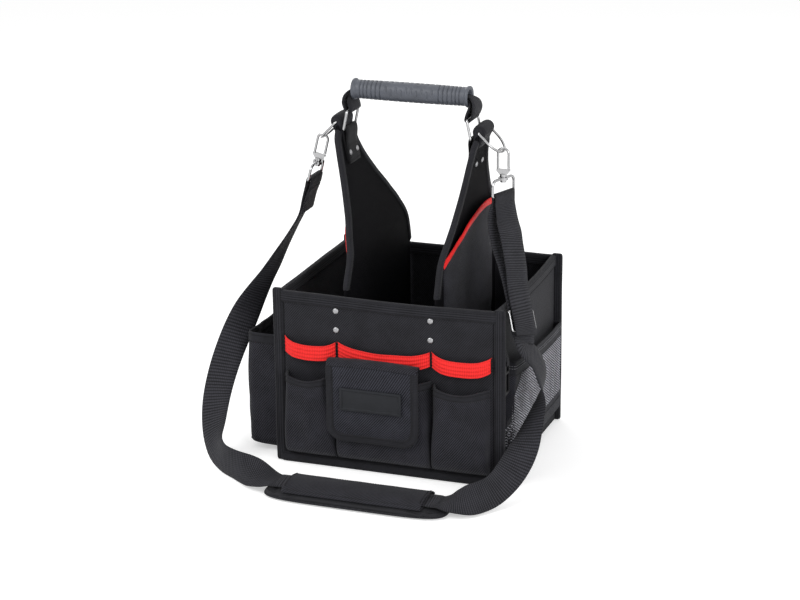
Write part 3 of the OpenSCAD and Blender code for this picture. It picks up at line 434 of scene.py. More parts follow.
def strapRoutes(setup):
    lean, turn = setup["lean"], setup["eyeTurn"]
    downLeft = Vector((-math.sin(lean), 0, -math.cos(lean)))
    outLeft = Vector((-math.cos(lean), 0, math.sin(lean)))
    downRight = Vector((0, 0, -1))
    acrossRight = Vector((math.sin(turn), math.cos(turn), 0))
    outRight = Vector((math.cos(turn), -math.sin(turn), 0))
    barLeft = jointAt["hook_left_swivel"] + setup["eyeDrop"] * downLeft
    barRight = jointAt["hook_right_swivel"] + setup["eyeDrop"] * downRight
    climb = Vector((-11, 12, 33)).normalized()
    sliderAcross = (acrossRight - acrossRight.dot(climb) * climb).normalized()
    sliderOut = sliderAcross.cross(climb)

    def beside(k, side):
        return (setup["slider"] + k * climb + side * setup["layer"] * sliderOut, sliderAcross)

    left = roundEye(barLeft, outLeft, downLeft, Vector((0, 1, 0)))
    right = roundEye(barRight, outRight, downRight, acrossRight)
    rightClimb = [(beside(-34, -1)[0], Vector((0.12, 0.96, -0.1)))] + [beside(k, -1) for k in (-22, 0, 40)]
    rightClimb += [(point, acrossRight) for point in ((144, -66, 282), (129, -50, 308), (120, -36, 334))]
    main = left + leftRun + floorRun + rightRun + rightClimb + right
    tail = [((-150, -28, 319), (0, 1, 0)), ((-144, -28, 341), (0, 1, 0)), left[0]]
    back = right[-2:] + [(point, acrossRight) for point in ((133, -36, 334), (143, -52, 315), (155, -70, 284))]
    back += [beside(k, 1) for k in (40, 0, -20)]
    return main, tail, back


def makeStrap(setup):
    main, tail, back = strapRoutes(setup)
    strap, line, length = ribbon("strap_main", main, setup["width"], setup["thick"], 5)
    finishPiece(strap, "webbing", "shoulder_strap")
    tailPiece = ribbon("strap_tail_left", tail, setup["width"], setup["thick"], 6)[0]
    backPiece = ribbon("strap_return_right", back, setup["width"], setup["thick"] + 0.1, 6)[0]
    for piece in (tailPiece, backPiece):
        finishPiece(piece, "webbing")
    print("strap length", round(length), "mm")


makeStrap(strapSetup)
up = Vector((0, 0, 1))
sides = {
    "front": (Vector((0, -131, 0)), Vector((1, 0, 0)), Vector((0, -1, 0))),
    "back": (Vector((0, 131, 0)), Vector((-1, 0, 0)), Vector((0, 1, 0))),
    "left": (Vector((-150, 0, 0)), Vector((0, -1, 0)), Vector((-1, 0, 0))),
    "right": (Vector((150, 0, 0)), Vector((0, 1, 0)), Vector((1, 0, 0))),
}
bow = {"front": 2.2, "back": 3.0, "left": 3.2, "right": 2.4, "dip": 2.2}   # how far a wall's middle stands out and sags


# A point of a wall's outer face: a to its right as seen from outside, h above the floor.
def onSide(side, a, h, out=0.0):
    origin, right, away = sides[side]
    middle = max(0.0, 1 - (a / (150 if side in ("front", "back") else 131)) ** 2)
    out += bow[side] * middle * smoothStep(-10, 190, h)
    return origin + a * right + (h - bow["dip"] * middle * smoothStep(120, 240, h)) * up + out * away


def boxOf(node):
    low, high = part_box(node)
    return low / mm, high / mm


def modelStitch():
    stitch = bevelledBox("stitch", Vector((2.5, 0.75, 0.7)) / mm, 0.22 / mm, 1)
    shape = [v.co.copy() for v in stitch.data.vertices], [tuple(f.vertices) for f in stitch.data.polygons]
    bpy.data.objects.remove(stitch)
    return shape


stitchShape = modelStitch()


# Rows of stitches: each row is a list of (point, outward normal).
def stitches(name, rows, material="thread", body="root", every=3.5):
    corners, faces = stitchShape
    points, quads = [], []
    for row in rows:
        travelled = every / 2
        for (p, n), (q, m) in zip(row, row[1:]):
            length = (q - p).length
            while travelled < length:
                t = travelled / length
                place, normal, along = p.lerp(q, t), n.lerp(m, t).normalized(), (q - p).normalized()
                across = normal.cross(along)
                first = len(points)
                points += [(place + along * c.x + across * c.y + normal * (c.z + 0.12)) * mm for c in corners]
                quads += [tuple(first + k for k in face) for face in faces]
                travelled += every
            travelled -= length
    mesh = bpy.data.meshes.new(name)
    mesh.from_pydata(points, [], quads)
    piece = bpy.data.objects.new(name, mesh)
    bpy.context.scene.collection.objects.link(piece)
    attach(piece, body)
    return finishPiece(piece, material)


# Tape folded over an edge: edge is a list of (point, inward direction, panel normal).
def edgeTape(name, edge, width, thick, material="binding", body="root", proud=1.0):
    h = thick / 2
    section = [(width - proud, -h), (width * 0.5, -h * 1.06), (0.8, -h * 1.06), (-proud * 0.7, -h * 0.65), (-proud, 0),
               (-proud * 0.7, h * 0.65), (0.8, h * 1.06), (width * 0.5, h * 1.06), (width - proud, h), (width - proud, 0)]
    last = len(edge) - 1
    length = sum((edge[k + 1][0] - edge[k][0]).length for k in range(last))

    def frameAt(t):
        point, inward, normal = edge[round(t * last)]
        return point, inward, normal

    piece = sweep(name, section, frameAt, last, length, body=body)
    return finishPiece(piece, material)


def tapeStitches(edge, width, thick, proud=1.0, faces=(1, -1)):
    return [[(p + inward * (width - proud - 2) + normal * side * thick * 0.53, normal * side)
             for p, inward, normal in edge] for side in faces]


def rowAlong(frameAt, shift, away):
    return [(frameAt(k / 40)[0] + shift, away) for k in range(41)]


wallSetup = {
    "thick": 5.0,
    "swell": 0.7,            # padding's crown between the seams
    "rim": (7.6, 16.5),      # binding over the top edge: width, height
}


def makeWalls(setup):
    for side in sides:
        node = side + "_wall"
        low, high = boxOf(node)
        half = high.x if side in ("front", "back") else high.y

        def place(u, v):
            a, h = mix(-half, half, u), mix(low.z, high.z - 1, v)
            crown = setup["swell"] * (math.sin(math.pi * u) * math.sin(math.pi * v)) ** 0.5
            return onSide(side, a, h, crown * 0.6 - 0.5 + 0.5 * ripple(a, h, half, 42, 3))

        wall = shapedGrid(node + "_cover", 40, 30, place, (2 * half * mm, (high.z - low.z) * mm), setup["thick"] - 0.4)
        finishPiece(wall, "wall", node)


def makeRims(setup):
    wide, high = setup["rim"]
    rims, rows = [], []
    top = boxOf("rim_bindings")[1].z
    section = roundedBar(wide, high, 2.6)
    for side in sides:
        half = 149.5 if side in ("front", "back") else 130.5
        tilt = [1.2, -0.8, 0.6, -1.0][list(sides).index(side)]

        def frameAt(t):
            a = mix(-half, half, t)
            dip = 0.9 * ripple(a, half, 7, 55, 5)
            centre = onSide(side, a, top - high / 2 - 0.5 + dip, -2.5 + tilt * 0.4 * ripple(a, 3, half, 45, 9))
            return centre, sides[side][2], up

        rim = sweep("rim_" + side, section, frameAt, 46, 2 * half)
        rims.append(finishPiece(rim, "binding"))
        for away in (sides[side][2], -sides[side][2]):
            rows += [rowAlong(frameAt, away * wide / 2 + up * height, away) for height in (2.4 - high / 2, high / 2 - 4.0)]
    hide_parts("rim_bindings")
    stitches("rim_stitches", rows)


def makeCorners():
    low, high = boxOf("corner_bindings")
    flanges, rows = [], []
    for sx in (-1, 1):
        for sy in (-1, 1):
            def frameAt(t):
                z = mix(0.6, high.z, t)
                sway = 1.6 * ripple(sx * 40, sy * 30, z, 55, 2)
                return Vector((sx * (152.2 + 0.3 * sway), sy * (128.5 + 0.35 * sway), z)), Vector((1, 0, 0)), Vector((0, 1, 0))

            name = "corner_" + ("left" if sx < 0 else "right") + ("_front" if sy < 0 else "_back")
            section = roundedBar(15.4, 6.8, 2.8)
            flange = sweep(name, section, frameAt, 44, high.z - low.z)
            flanges.append(finishPiece(flange, "binding"))
            for face in (1, -1):
                rows += [rowAlong(frameAt, Vector((inset, face * 3.4, 0)), Vector((0, face, 0))) for inset in (-4.6, 4.4)]
    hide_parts("corner_bindings")
    stitches("corner_stitches", rows)


def makeFoot():
    low, high = boxOf("foot_bands")
    bands, rows = [], []
    for side in sides:
        half = 151.5 if side in ("front", "back") else 132.0

        def place(u, v):
            a, h = mix(-half, half, u), mix(0.3, high.z, v)
            return onSide(side, a, h, 2.0 - 0.8 * v ** 4 + 0.35 * ripple(a, h, half, 30, 8))

        band = shapedGrid("foot_band_" + side, 50, 5, place, (2 * half * mm, 0.014), 1.9)
        bands.append(finishPiece(band, "binding"))
        rows += [[(place(k / 40, t), sides[side][2]) for k in range(41)] for t in (0.22, 0.82)]
    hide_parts("foot_bands")
    stitches("foot_stitches", rows)


def makeBase():
    low, high = boxOf("base_panel")
    base = bevelledBox("base_board", high - low, 2.2, 3)
    base.data.transform(Matrix.Translation((high + low) / 2 * mm))
    bpy.ops.object.shade_smooth_by_angle(angle=0.6)
    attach(base, "root")
    finishPiece(base, "board", "base_panel")


makeWalls(wallSetup)
makeRims(wallSetup)
makeCorners()
makeFoot()
makeBase()
print("body ready")

wingSetup = {
    "bend": 285.0,
    "offset": 64.0,
    "lean": math.radians(11.5),
    "thick": 6.0,
    "front": [(-279, -125.7), (-120, -125.7), (-61, -125.4), (-41, -123), (0, -107), (20, -98), (47, -83), (87, -70),
              (126, -64), (148, -60), (159, -51), (168, -47)],
    "back": [(-279, 125.7), (-120, 125.7), (-61, 125.6), (-34, 124.8), (0, 113), (20, 101), (47, 78.5), (87, 41), (126, 10),
             (148, 2), (159, -5), (168, -9)],
    "tape": 11.0,
    "tuck": 3.5,             # how far the left wing's foot stands in
}


# A point of a wing: s along it from the bend, y, and n out from its middle.
def onWing(side, s, y, n=0.0):
    w = wingSetup
    bent = smoothStep(-28, 28, s)
    lean = w["lean"] * bent
    x = mix(w["offset"], w["offset"] + s * math.sin(w["lean"]), bent)
    if side < 0:
        x -= w["tuck"] * smoothStep(105, 0, s)
    z = mix(w["bend"] + s, w["bend"] + s * math.cos(w["lean"]), bent)
    return Vector((side * (x + n * math.cos(lean)), y, z - n * math.sin(lean)))


def wingAway(side, s):
    lean = wingSetup["lean"] * smoothStep(-12, 12, s)
    return Vector((side * math.cos(lean), 0, -math.sin(lean)))


def wingEdge(side, which, s0, s1, count):
    edge = []
    for k in range(count):
        s = mix(s0, s1, k / (count - 1))
        y, ahead = (atHeight(wingSetup[which], t) for t in (s, s + 2))
        along = (onWing(side, s + 2, ahead) - onWing(side, s, y)).normalized()
        normal = wingAway(side, s)
        inward = normal.cross(along)
        if inward.y * (1 if which == "front" else -1) < 0:
            inward = -inward
        edge.append((onWing(side, s, y), inward, normal))
    return edge


def makeWing(side, name, setup):
    def place(u, v):
        s = mix(-279, 167, v)
        y = mix(atHeight(setup["front"], s), atHeight(setup["back"], s), u)
        rim = min(1, 8 * min(u, 1 - u))
        dish = 0.5 * ripple(s, y, side * 40, 60, 4) * smoothStep(-40, 0, s) * rim
        return onWing(side, s, y, (setup["thick"] / 2 if side > 0 else -setup["thick"] / 2) * (0.72 + 0.28 * rim) + dish)

    wing = shapedGrid("wing_panel_" + name, 26, 80, place, (0.25, 0.447), setup["thick"] - 0.9)
    # the panel finish carries painted shade: its colour is darkened to the shade that lies between the wings
    finishPiece(wing, "panel", "wing_" + name)
    rows = []
    for which in ("front", "back"):
        edge = wingEdge(side, which, -40, 158, 50)
        edgeTape(f"wing_tape_{which}_{name}", edge, setup["tape"], setup["thick"] + 1.0, proud=0.6)
        rows += tapeStitches(edge, setup["tape"], setup["thick"] + 1.0, proud=0.6)
    # the loop of fabric round the bar of the ring, sewn down on the outer face
    bar = onWing(side, 168, -28)
    along, away = (onWing(side, 168, 0) - onWing(side, 150, 0)).normalized(), wingAway(side, 160)
    section = [(9.6 * math.cos(math.radians(d)), 9.6 * math.sin(math.radians(d))) for d in range(-30, 211, 20)]
    section += [(-5.2, -12), (-4.3, -24), (4.3, -24), (6.0, -12)]

    def frameAt(t):
        y = mix(-48.2, -7.8, t)
        swell = 1 - 0.10 * abs(2 * t - 1) ** 3
        return bar + Vector((0, y + 28, 0)), away * swell, along * swell

    sleeve = sweep("wing_loop_" + name, section, frameAt, 14, 38)
    finishPiece(sleeve, "binding", slotName="padded_fabric")
    rows.append([(bar + away * 5.3 - along * 15.5 + Vector((0, y, 0)), away) for y in range(-18, 20, 3)])
    rows.append([(bar - away * 5.0 - along * 15.5 + Vector((0, y, 0)), -away) for y in range(-18, 20, 3)])
    stitches("wing_stitches_" + name, rows)


def makeWingPocket(side, name):
    top = [(-100, 285), (-97, 292), (-92, 297), (-76, 314), (-46, 332), (-10, 341), (30, 342), (74, 334), (90, 314),
           (94, 305), (98, 294), (100, 285)]
    cosLean = math.cos(wingSetup["lean"])

    def place(u, v, lift=0.0):
        y = mix(-100, 100, u)
        s = mix(-135, (atHeight(top, y) - 285) / cosLean, v)
        belly = min(1, 5.5 * min(u, 1 - u)) ** 0.6 * min(1, 0.15 + 4 * v)
        depth = 3.2 + 9.0 * belly + 0.9 * ripple(s, y, side * 9, 38, 6) * belly
        return onWing(side, s, y, depth + lift)

    def mirrored(u, v, lift=0.0):
        return place(u if side > 0 else 1 - u, v, lift)

    pocket = shapedGrid("wing_pocket_cover_" + name, 44, 30, mirrored, (0.2, 0.2), 1.7)
    finishPiece(pocket, "pocket", "wing_pocket_" + name)
    edge = []
    for k in range(45):
        u = k / 44
        here, under = place(u, 1.0, -0.85), place(u, 0.9, -0.85)
        edge.append((here, (under - here).normalized(), wingAway(side, 0)))
    edgeTape("wing_pocket_edge_" + name, edge, 9.5, 3.2, "redTape", proud=0.9)


def makeRingTab(side, name):
    bar = (155.0, -7.55)
    strip = [(112, -4.2), (122, -4.2), (134, -4.2), (146, -4.3)]
    arc = [(bar[0] + 3.2 * math.sin(math.radians(d)), bar[1] + 3.2 * math.cos(math.radians(d)))
           for d in (0, 45, 90, 135, 180)]
    back = [(149, -10.3), (142, -8.4), (134, -6.7), (124, -6.4), (113, -6.4), (109.5, -5.4)]
    route = [(onWing(side, s, handleY, n), (0, 1, 0)) for s, n in strip + arc + back]
    tab = ribbon("ring_tab_webbing_" + name, route, 38, 2.0, 4)[0]
    finishPiece(tab, "tab", "ring_tab_" + name)
    rows = [[(onWing(side, s, handleY + y, -7.5), -wingAway(side, s)) for s in range(112, 134, 3)] for y in (-16, 16)]
    rows += [[(onWing(side, s, handleY + y, -7.5), -wingAway(side, s)) for y in range(-16, 17, 3)] for s in (113, 133)]
    stitches("ring_tab_stitches_" + name, rows)


def rivetCaps(name, places, node, size=(3.6, 1.5)):
    deselectAll()
    bpy.ops.mesh.primitive_uv_sphere_add(segments=20, ring_count=12, radius=1)
    cap = bpy.context.active_object
    bpy.ops.object.mode_set(mode="EDIT")
    bpy.ops.mesh.select_all(action="SELECT")
    bpy.ops.transform.resize(value=(size[0] * mm, size[0] * mm, size[1] * mm))
    bpy.ops.object.mode_set(mode="OBJECT")
    copies = []
    for k, (point, away) in enumerate(places):
        copy = cap.copy()
        copy.data = cap.data.copy()
        bpy.context.scene.collection.objects.link(copy)
        copy.data.transform(Matrix.Translation(point * mm) @ away.to_track_quat("Z", "Y").to_matrix().to_4x4())
        copies.append(copy)
    bpy.data.objects.remove(cap)
    deselectAll()
    for copy in copies:
        copy.select_set(True)
    bpy.context.view_layer.objects.active = copies[0]
    bpy.ops.object.join()
    caps = bpy.context.active_object
    caps.name = name
    bpy.ops.object.shade_smooth()
    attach(caps, "root")
    finishPiece(caps, "rivet", node)


for side, name in ((-1, "left"), (1, "right")):
    makeWing(side, name, wingSetup)
    makeWingPocket(side, name)
    makeRingTab(side, name)
tabRivets, dividerRivets = [], []
for side in (-1, 1):
    for y in (-12, 12):
        tabRivets.append((onWing(side, 124, handleY + y, 3.2), wingAway(side, 124)))
        tabRivets.append((onWing(side, 124, handleY + y, -7.6), -wingAway(side, 124)))
    for z in (194.5, 221):
        x = wingSetup["offset"] * side - 5 + side
        dividerRivets.append((onSide("front", x, z, 0.3), sides["front"][2]))
        dividerRivets.append((onSide("back", -x, z, 0.3), sides["back"][2]))
rivetCaps("tab_rivet_caps", tabRivets, "tab_rivets")
rivetCaps("divider_rivet_caps", dividerRivets, "divider_rivets", (4.0, 1.7))
print("wings ready")

bandSetup = {
    "sewn": [-143.5, -68.5, 61.5, 143.5],
    "top": 178.5,
    "sag": 8.5,
    "wide": 20.5,
    "depth": 8.6,
    "ribs": 4,
}


def makeToolBand(setup):
    sewn = setup["sewn"]

    def place(u, v, lift=0.0):
        a = mix(sewn[0], sewn[-1], u)
        k = max(i for i in range(len(sewn) - 1) if a >= sewn[i] - 1e-6)
        f = (a - sewn[k]) / (sewn[k + 1] - sewn[k])
        hump = max(0.0, 4 * f * (1 - f))
        loose = min(1.0, hump * 1.6)
        top = setup["top"] - setup["sag"] * hump ** 0.8 + 0.8 * ripple(a, 7, 3, 30)
        h = mix(top - setup["wide"] * (0.94 + 0.06 * loose), top, v)
        rib = 0.45 * math.cos(2 * math.pi * setup["ribs"] * v)
        return onSide("front", a, h, 1.2 + (setup["depth"] - 2.2) * loose ** 0.7 + (1.1 * math.sin(math.pi * v)) * loose
                      + rib + lift)

    band = shapedGrid("tool_band_elastic", 150, 24, place, (0.287, 0.02), 1.5, level=0)
    finishPiece(band, "red", "tool_band")
    tacks = []
    for a in sewn:
        for dx in (-1.2, -0.6, 0, 0.6, 1.2):
            at = max(sewn[0], min(sewn[-1], a + dx))
            past = (a + dx - at) * sides["front"][1]      # the outer rows go over the band's ends
            u = (at - sewn[0]) / (sewn[-1] - sewn[0])
            tacks.append([(place(u, v / 12, 0.3) + past, sides["front"][2]) for v in range(13)])
    stitches("band_tacks", tacks, "tack", every=1.2)


makeToolBand(bandSetup)

# heights go from the lowest row to the mouth: (part of the way up, part of the depth)
flatBottom = [(0, 0.05), (0.03, 0.5), (0.09, 0.86), (0.2, 0.97), (0.45, 1.0), (0.8, 0.94), (0.93, 0.96), (1, 1.0)]
pockets = {
    "front_pocket_left": {"side": "front", "inset": (5, 14), "corner": 0.055, "bulge": 1.8, "sag": 7.0, "hem": 12,
                          "rise": flatBottom, "seed": 1},
    "front_pocket_center": {"side": "front", "inset": (8, 13), "corner": 0.03, "bulge": 0.0, "sag": 1.5, "hem": 12,
                            "rise": flatBottom, "seed": 2},
    "front_pocket_right": {"side": "front", "inset": (8, 12), "corner": 0.05, "bulge": 1.8, "sag": 6.0, "hem": 12,
                           "rise": flatBottom, "seed": 3},
    "back_pocket_left": {"side": "back", "inset": (5, 5), "corner": 0.05, "bulge": 2.2, "sag": 3.0, "hem": 14,
                         "rise": flatBottom, "seed": 4},
    "back_pocket_right": {"side": "back", "inset": (5, 5), "corner": 0.05, "bulge": 2.2, "sag": 3.0, "hem": 14,
                          "rise": flatBottom, "seed": 5},
    "side_pocket_left": {"side": "left", "inset": (2, 2), "corner": 0.03, "bulge": 3.0, "sag": 4.0, "hem": 15,
                         "rise": [(0, 0.02), (0.003, 0.5), (0.006, 0.93), (0.05, 1.0), (0.4, 1.02), (0.8, 0.985), (1, 0.97)],
                         "seed": 6},
}


# The shell of a pocket: round from one seam to the other, and up to the mouth.
def pocketShell(node, setup, mouth=None):
    low, high = boxOf(node)
    side = setup["side"]
    right, away = sides[side][1], sides[side][2]
    ends = sorted((low.dot(right), high.dot(right)))
    reach = max(low.dot(away), high.dot(away)) - sides[side][0].dot(away)
    z0, z1 = low.z, high.z
    gusset = reach + 3
    front = ends[1] - ends[0]
    total = front + 2 * gusset
    corners = (gusset / total, 1 - gusset / total)
    seed = setup["seed"] * 11.3

    def outline(u, inset, depth):
        first, second = (k * inset for k in setup["inset"])
        if u < corners[0]:
            f = u / corners[0]
            return ends[0] + first * f, depth * f
        if u > corners[1]:
            f = (1 - u) / (1 - corners[1])
            return ends[1] - second * f, depth * f
        f = (u - corners[0]) / (corners[1] - corners[0])
        return mix(ends[0] + first, ends[1] - second, f), depth

    def place(u, v, lift=0.0):
        top = (mouth(u) if mouth else z1)
        across = max(0.0, min(1.0, (u - corners[0]) / (corners[1] - corners[0])))
        belly = math.sin(math.pi * across)
        v01 = min(v, 1.0)
        depth = atHeight(setup["rise"], v01) * (reach - 0.6)
        inset = smoothStep(0.05, 0.95, v01)
        w = setup["corner"] * min(1, 8 * min(u, 1 - u))
        spots = [outline(min(1, max(0, u + w * k)), inset, depth) for k in (-1, -0.5, 0, 0.5, 1)]
        a, out = (sum(p[i] for p in spots) / 5 for i in (0, 1))
        out += setup["bulge"] * belly * math.sin(math.pi * min(1, 0.12 + 0.88 * v01)) ** 0.8
        h = mix(z0, top - setup["sag"] * belly * v01 ** 4, v)
        free = min(1, out / 8) * min(1, 6 * v01)
        crease = 1.3 * ripple(a * 0.9 + 0.35 * h, 0.3 * h, out, 24, seed) + 0.8 * ripple(a, h * 0.5, 2, 11, seed)
        out += free * crease * (1 if setup["bulge"] else 0.35)
        a += free * 1.2 * ripple(a, h, out, 33, seed + 4)
        return onSide(side, a, h, out + lift)

    return place, total, z1 - z0


def pocketRow(place, v, u0=0.0, u1=1.0, lift=0.25, count=60):
    row = []
    for k in range(count + 1):
        u = mix(u0, u1, k / count)
        here = place(u, v)
        du = place(min(1, u + 0.004), v) - place(max(0, u - 0.004), v)
        dv = place(u, v) - place(u, v - 0.02)
        normal = du.cross(dv).normalized()
        row.append((here + normal * lift, normal))
    return row


def makePocket(node, setup):
    place, around, tall = pocketShell(node, setup)
    cols = 56 if around < 250 else 84
    shell = shapedGrid(node + "_shell", cols, 34, place, (around * mm, tall * mm), 1.8, ease=1.5)
    finishPiece(shell, "pocket", node)
    hem = setup["hem"] / tall

    def hemPlace(u, v):
        t = mix(1 - hem, 1.004, v)
        return place(u, t, 0.75 - 0.35 * (v > 0.98) - 0.25 * (v < 0.02))

    band = shapedGrid(node + "_hem", cols, 5, hemPlace, (around * mm, setup["hem"] * mm), 3.3)
    finishPiece(band, "hem")
    rows = [pocketRow(place, 1 - hem + 2.4 / tall, lift=1.0), pocketRow(place, 1 - 2.4 / tall, lift=1.0),
            pocketRow(place, 0.035, 0.05, 0.95)]
    stitches(node + "_stitches", rows)


for node, setup in pockets.items():
    makePocket(node, setup)
print("pockets ready")

meshSetup = {"side": "right", "inset": (3, 3), "corner": 0.03, "bulge": 0.0, "sag": 0.0, "hem": 22, "seed": 7,
             "rise": [(0, 0.06), (0.03, 0.6), (0.08, 0.93), (0.3, 1.0), (0.8, 1.0), (1, 0.95)],
             "lower": 50, "pitch": (7.6, 4.0), "yarn": 0.9, "margin": 3, "fold": 36}


def makeMeshPocket(setup):
    low, high = boxOf("mesh_pocket_frame")
    front, back = high.z, high.z - 16

    def mouth(u):
        return mix(front, back, u) - 3.5 * math.sin(math.pi * u)

    place, around, tall = pocketShell("mesh_pocket_frame", setup, mouth)

    def heightAt(u, h):
        return (h - low.z) / (mouth(u) - low.z)

    # where the net begins behind the front corner, and ends before the back one
    def netEdge(which, v):
        if which:
            return 1 - (16 + setup["margin"]) / around
        return (setup["margin"] + 13 * smoothStep(0.42, 0.56, v) + setup["fold"] * smoothStep(0.64, 0.98, v) ** 1.6) / around

    def hem(u, v):
        t = mix(1 - setup["hem"] / tall, 1.0, v)
        return place(u, t, 0.6)

    def lower(u, v):
        return place(u, mix(0, heightAt(u, setup["lower"]), v), 0.2)

    top = shapedGrid("mesh_pocket_hem", 70, 7, hem, (around * mm, setup["hem"] * mm), 2.6)
    finishPiece(top, "hem", "mesh_pocket_frame")
    bottom = shapedGrid("mesh_pocket_lower", 70, 14, lower, (around * mm, 0.035), 1.8)
    finishPiece(bottom, "pocket")
    for which, name in enumerate(("front", "back")):
        def gusset(u, v):
            t = mix(0.12, 0.97, v)
            return place(mix(which, netEdge(which, t), 1 - u if which else u), t, 0.3)

        strip = shapedGrid("mesh_pocket_gusset_" + name, 18, 28, gusset, (0.025, tall * mm), 1.8)
        finishPiece(strip, "pocket")
    # the net: squares poked into diamonds, then each thread given its thickness
    cols = round((around - 38) / setup["pitch"][0])
    rows = round((tall - setup["hem"] - 28) / setup["pitch"][1])
    deselectAll()
    bpy.ops.mesh.primitive_grid_add(x_subdivisions=cols, y_subdivisions=rows, size=2)
    net = bpy.context.active_object
    net.name = "mesh_pocket_net"
    bpy.ops.object.mode_set(mode="EDIT")
    bpy.ops.mesh.select_all(action="SELECT")
    bpy.ops.mesh.poke()
    bpy.ops.mesh.select_all(action="DESELECT")
    bpy.ops.object.mode_set(mode="OBJECT")
    mesh = net.data
    count = (cols + 1) * (rows + 1)
    rim = {v.index for v in mesh.vertices if max(abs(v.co.x), abs(v.co.y)) > 0.9999}
    for edge in mesh.edges:
        a, b = edge.vertices
        edge.select = a < count and b < count and not (a in rim and b in rim)
    bpy.ops.object.mode_set(mode="EDIT")
    bpy.ops.mesh.select_mode(type="EDGE")
    bpy.ops.mesh.dissolve_edges(use_verts=False)
    bpy.ops.object.mode_set(mode="OBJECT")
    for vert in mesh.vertices:
        v = (vert.co.y + 1) / 2
        u = mix(netEdge(0, 0.3 + 0.68 * v) - 4 / around, netEdge(1, v) + 4 / around, (vert.co.x + 1) / 2)
        t = mix(heightAt(u, setup["lower"] - 5), 1 - (setup["hem"] - 4) / tall, v)
        vert.co = place(u, t, -0.5 + 0.12 * math.sin(vert.co.x * 900) * math.cos(vert.co.y * 700)) * mm
    makeActive(net)
    yarn = net.modifiers.new("yarn", "WIREFRAME")
    yarn.thickness = setup["yarn"] * mm
    yarn.use_even_offset = False
    bpy.ops.object.modifier_apply(modifier="yarn")
    faceOutward(net.data)
    bpy.ops.object.shade_smooth()
    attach(net, "root")
    finishPiece(net, "net", "mesh_net")
    hemUnder = 1 - setup["hem"] / tall
    lines = [pocketRow(place, 1 - 6.5 / tall, lift=0.9), pocketRow(place, 1 - 10 / tall, lift=0.9),
             pocketRow(place, hemUnder + 2.5 / tall, lift=0.9)]
    stitches("mesh_pocket_lines", lines[:2], "paleThread")
    stitches("mesh_pocket_stitches", lines[2:] + [pocketRow(place, 0.2, 0.08, 0.92, 0.5)])


makeMeshPocket(meshSetup)
print("net ready")

flapSetup = {"corner": 22.0, "curl": 1.8, "tape": 11.0, "top": 160.5}


def makeFlap(setup):
    low, high = boxOf("flap")
    centre, half = (low.x + high.x) / 2, (high.x - low.x) / 2
    r = setup["corner"]

    def outline(z):
        dip = max(0.0, r - (z - low.z))
        return half - (r - math.sqrt(max(0.0, r * r - dip * dip)))

    def place(u, v, lift=0.0):
        z = mix(low.z, setup["top"], v ** 1.35)
        x = centre + outline(z) * (2 * u - 1)
        out = 24.3 - 3.4 * smoothStep(setup["top"] - 12, setup["top"] + 1, z) + 0.5 * math.sin(math.pi * u)
        out += setup["curl"] * (abs(2 * u - 1) ** 4) * smoothStep(90, 55, z) + 0.5 * ripple(x, z, 4, 40, 12)
        arch = 2.4 * math.sin(math.pi * u) * smoothStep(120, 160, z)
        return onSide("front", x, z + arch, min(out, 26.4) + lift)

    flap = shapedGrid("flap_panel", 36, 36, place, (0.126, 0.112), 1.9, body="flap")
    finishPiece(flap, "flap", "flap")
    edge = []
    spots = [(0.0, k / 24) for k in range(23, 0, -1)] + [(k / 22, 0.0) for k in range(23)] + [(1.0, k / 24) for k in range(1, 24)]
    points = [place(u, v, -0.95) for u, v in spots]
    for k, point in enumerate(points):
        along = (points[min(len(points) - 1, k + 1)] - points[max(0, k - 1)]).normalized()
        normal = Vector((0, -1, 0))
        inward = normal.cross(along).normalized()
        if inward.dot(Vector((centre, point.y, 105)) - point) < 0:
            inward = -inward
        edge.append((point, inward, normal))
    edgeTape("flap_tape", edge, setup["tape"], 3.4, body="flap", proud=0.9)
    stitches("flap_stitches", tapeStitches(edge, setup["tape"], 3.4, faces=(1,)), body="flap")
    # moulded patch, left bare, with its raised rim
    lo, hi = boxOf("flap_patch")
    patch = bevelledBox("flap_patch_rubber", hi - lo, 0.6, 2)
    bpy.ops.object.mode_set(mode="EDIT")
    bpy.ops.mesh.select_all(action="DESELECT")
    bpy.ops.object.mode_set(mode="OBJECT")
    for face in patch.data.polygons:
        face.select = face.normal.y < -0.99
    bpy.ops.object.mode_set(mode="EDIT")
    bpy.ops.mesh.select_mode(type="FACE")
    for thickness, depth in ((2.4, 0), (0.9, -1.2), (3, 0), (2, 0.3)):
        bpy.ops.mesh.inset(thickness=thickness * mm, depth=depth * mm)
    bpy.ops.object.mode_set(mode="OBJECT")
    middle = onSide("front", (lo.x + hi.x) / 2, (lo.z + hi.z) / 2, -131.2 - (lo.y + hi.y) / 2)
    patch.data.transform(Matrix.Translation(middle * mm))
    bpy.ops.object.shade_smooth_by_angle(angle=0.5)
    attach(patch, "flap")
    finishPiece(patch, "patch", "flap_patch")
    # hook tape on the flap, loop tape on the pocket under it
    for node, body, face in (("flap_hook_tape", "flap", 1), ("flap_loop_tape", "root", -1)):
        lo, hi = boxOf(node)

        def tape(u, v):
            x = mix(lo.x, hi.x, u if face < 0 else 1 - u)
            return onSide("front", x, mix(lo.z, hi.z, v), -131 - (lo.y if face < 0 else hi.y))

        piece = shapedGrid(node + "_pile", 24, 14, tape, (0.05, 0.03), 1.0, body=body)
        finishPiece(piece, "loopTape", node)
    # the fold that carries the flap, from the band over the pocket's mouth
    route = [(-141.0, 155.0), (-141.4, 158.4), (-144.0, 160.6), (-149.0, 161.3), (-153.0, 161.2), (-155.2, 159.6),
             (-156.1, 156.6), (-156.3, 152.0)]

    def fold(u, v):
        y, z = throughPoints(route, v)
        arch = 2.4 * math.sin(math.pi * u)
        return onSide("front", mix(high.x - 0.6, low.x + 0.6, u), z + arch, -131 - y)

    piece = shapedGrid("flap_fold_strip", 30, 14, fold, (0.126, 0.03), 1.7, body=None)
    finishPiece(piece, "pocket", "flap_fold")
    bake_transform(piece)


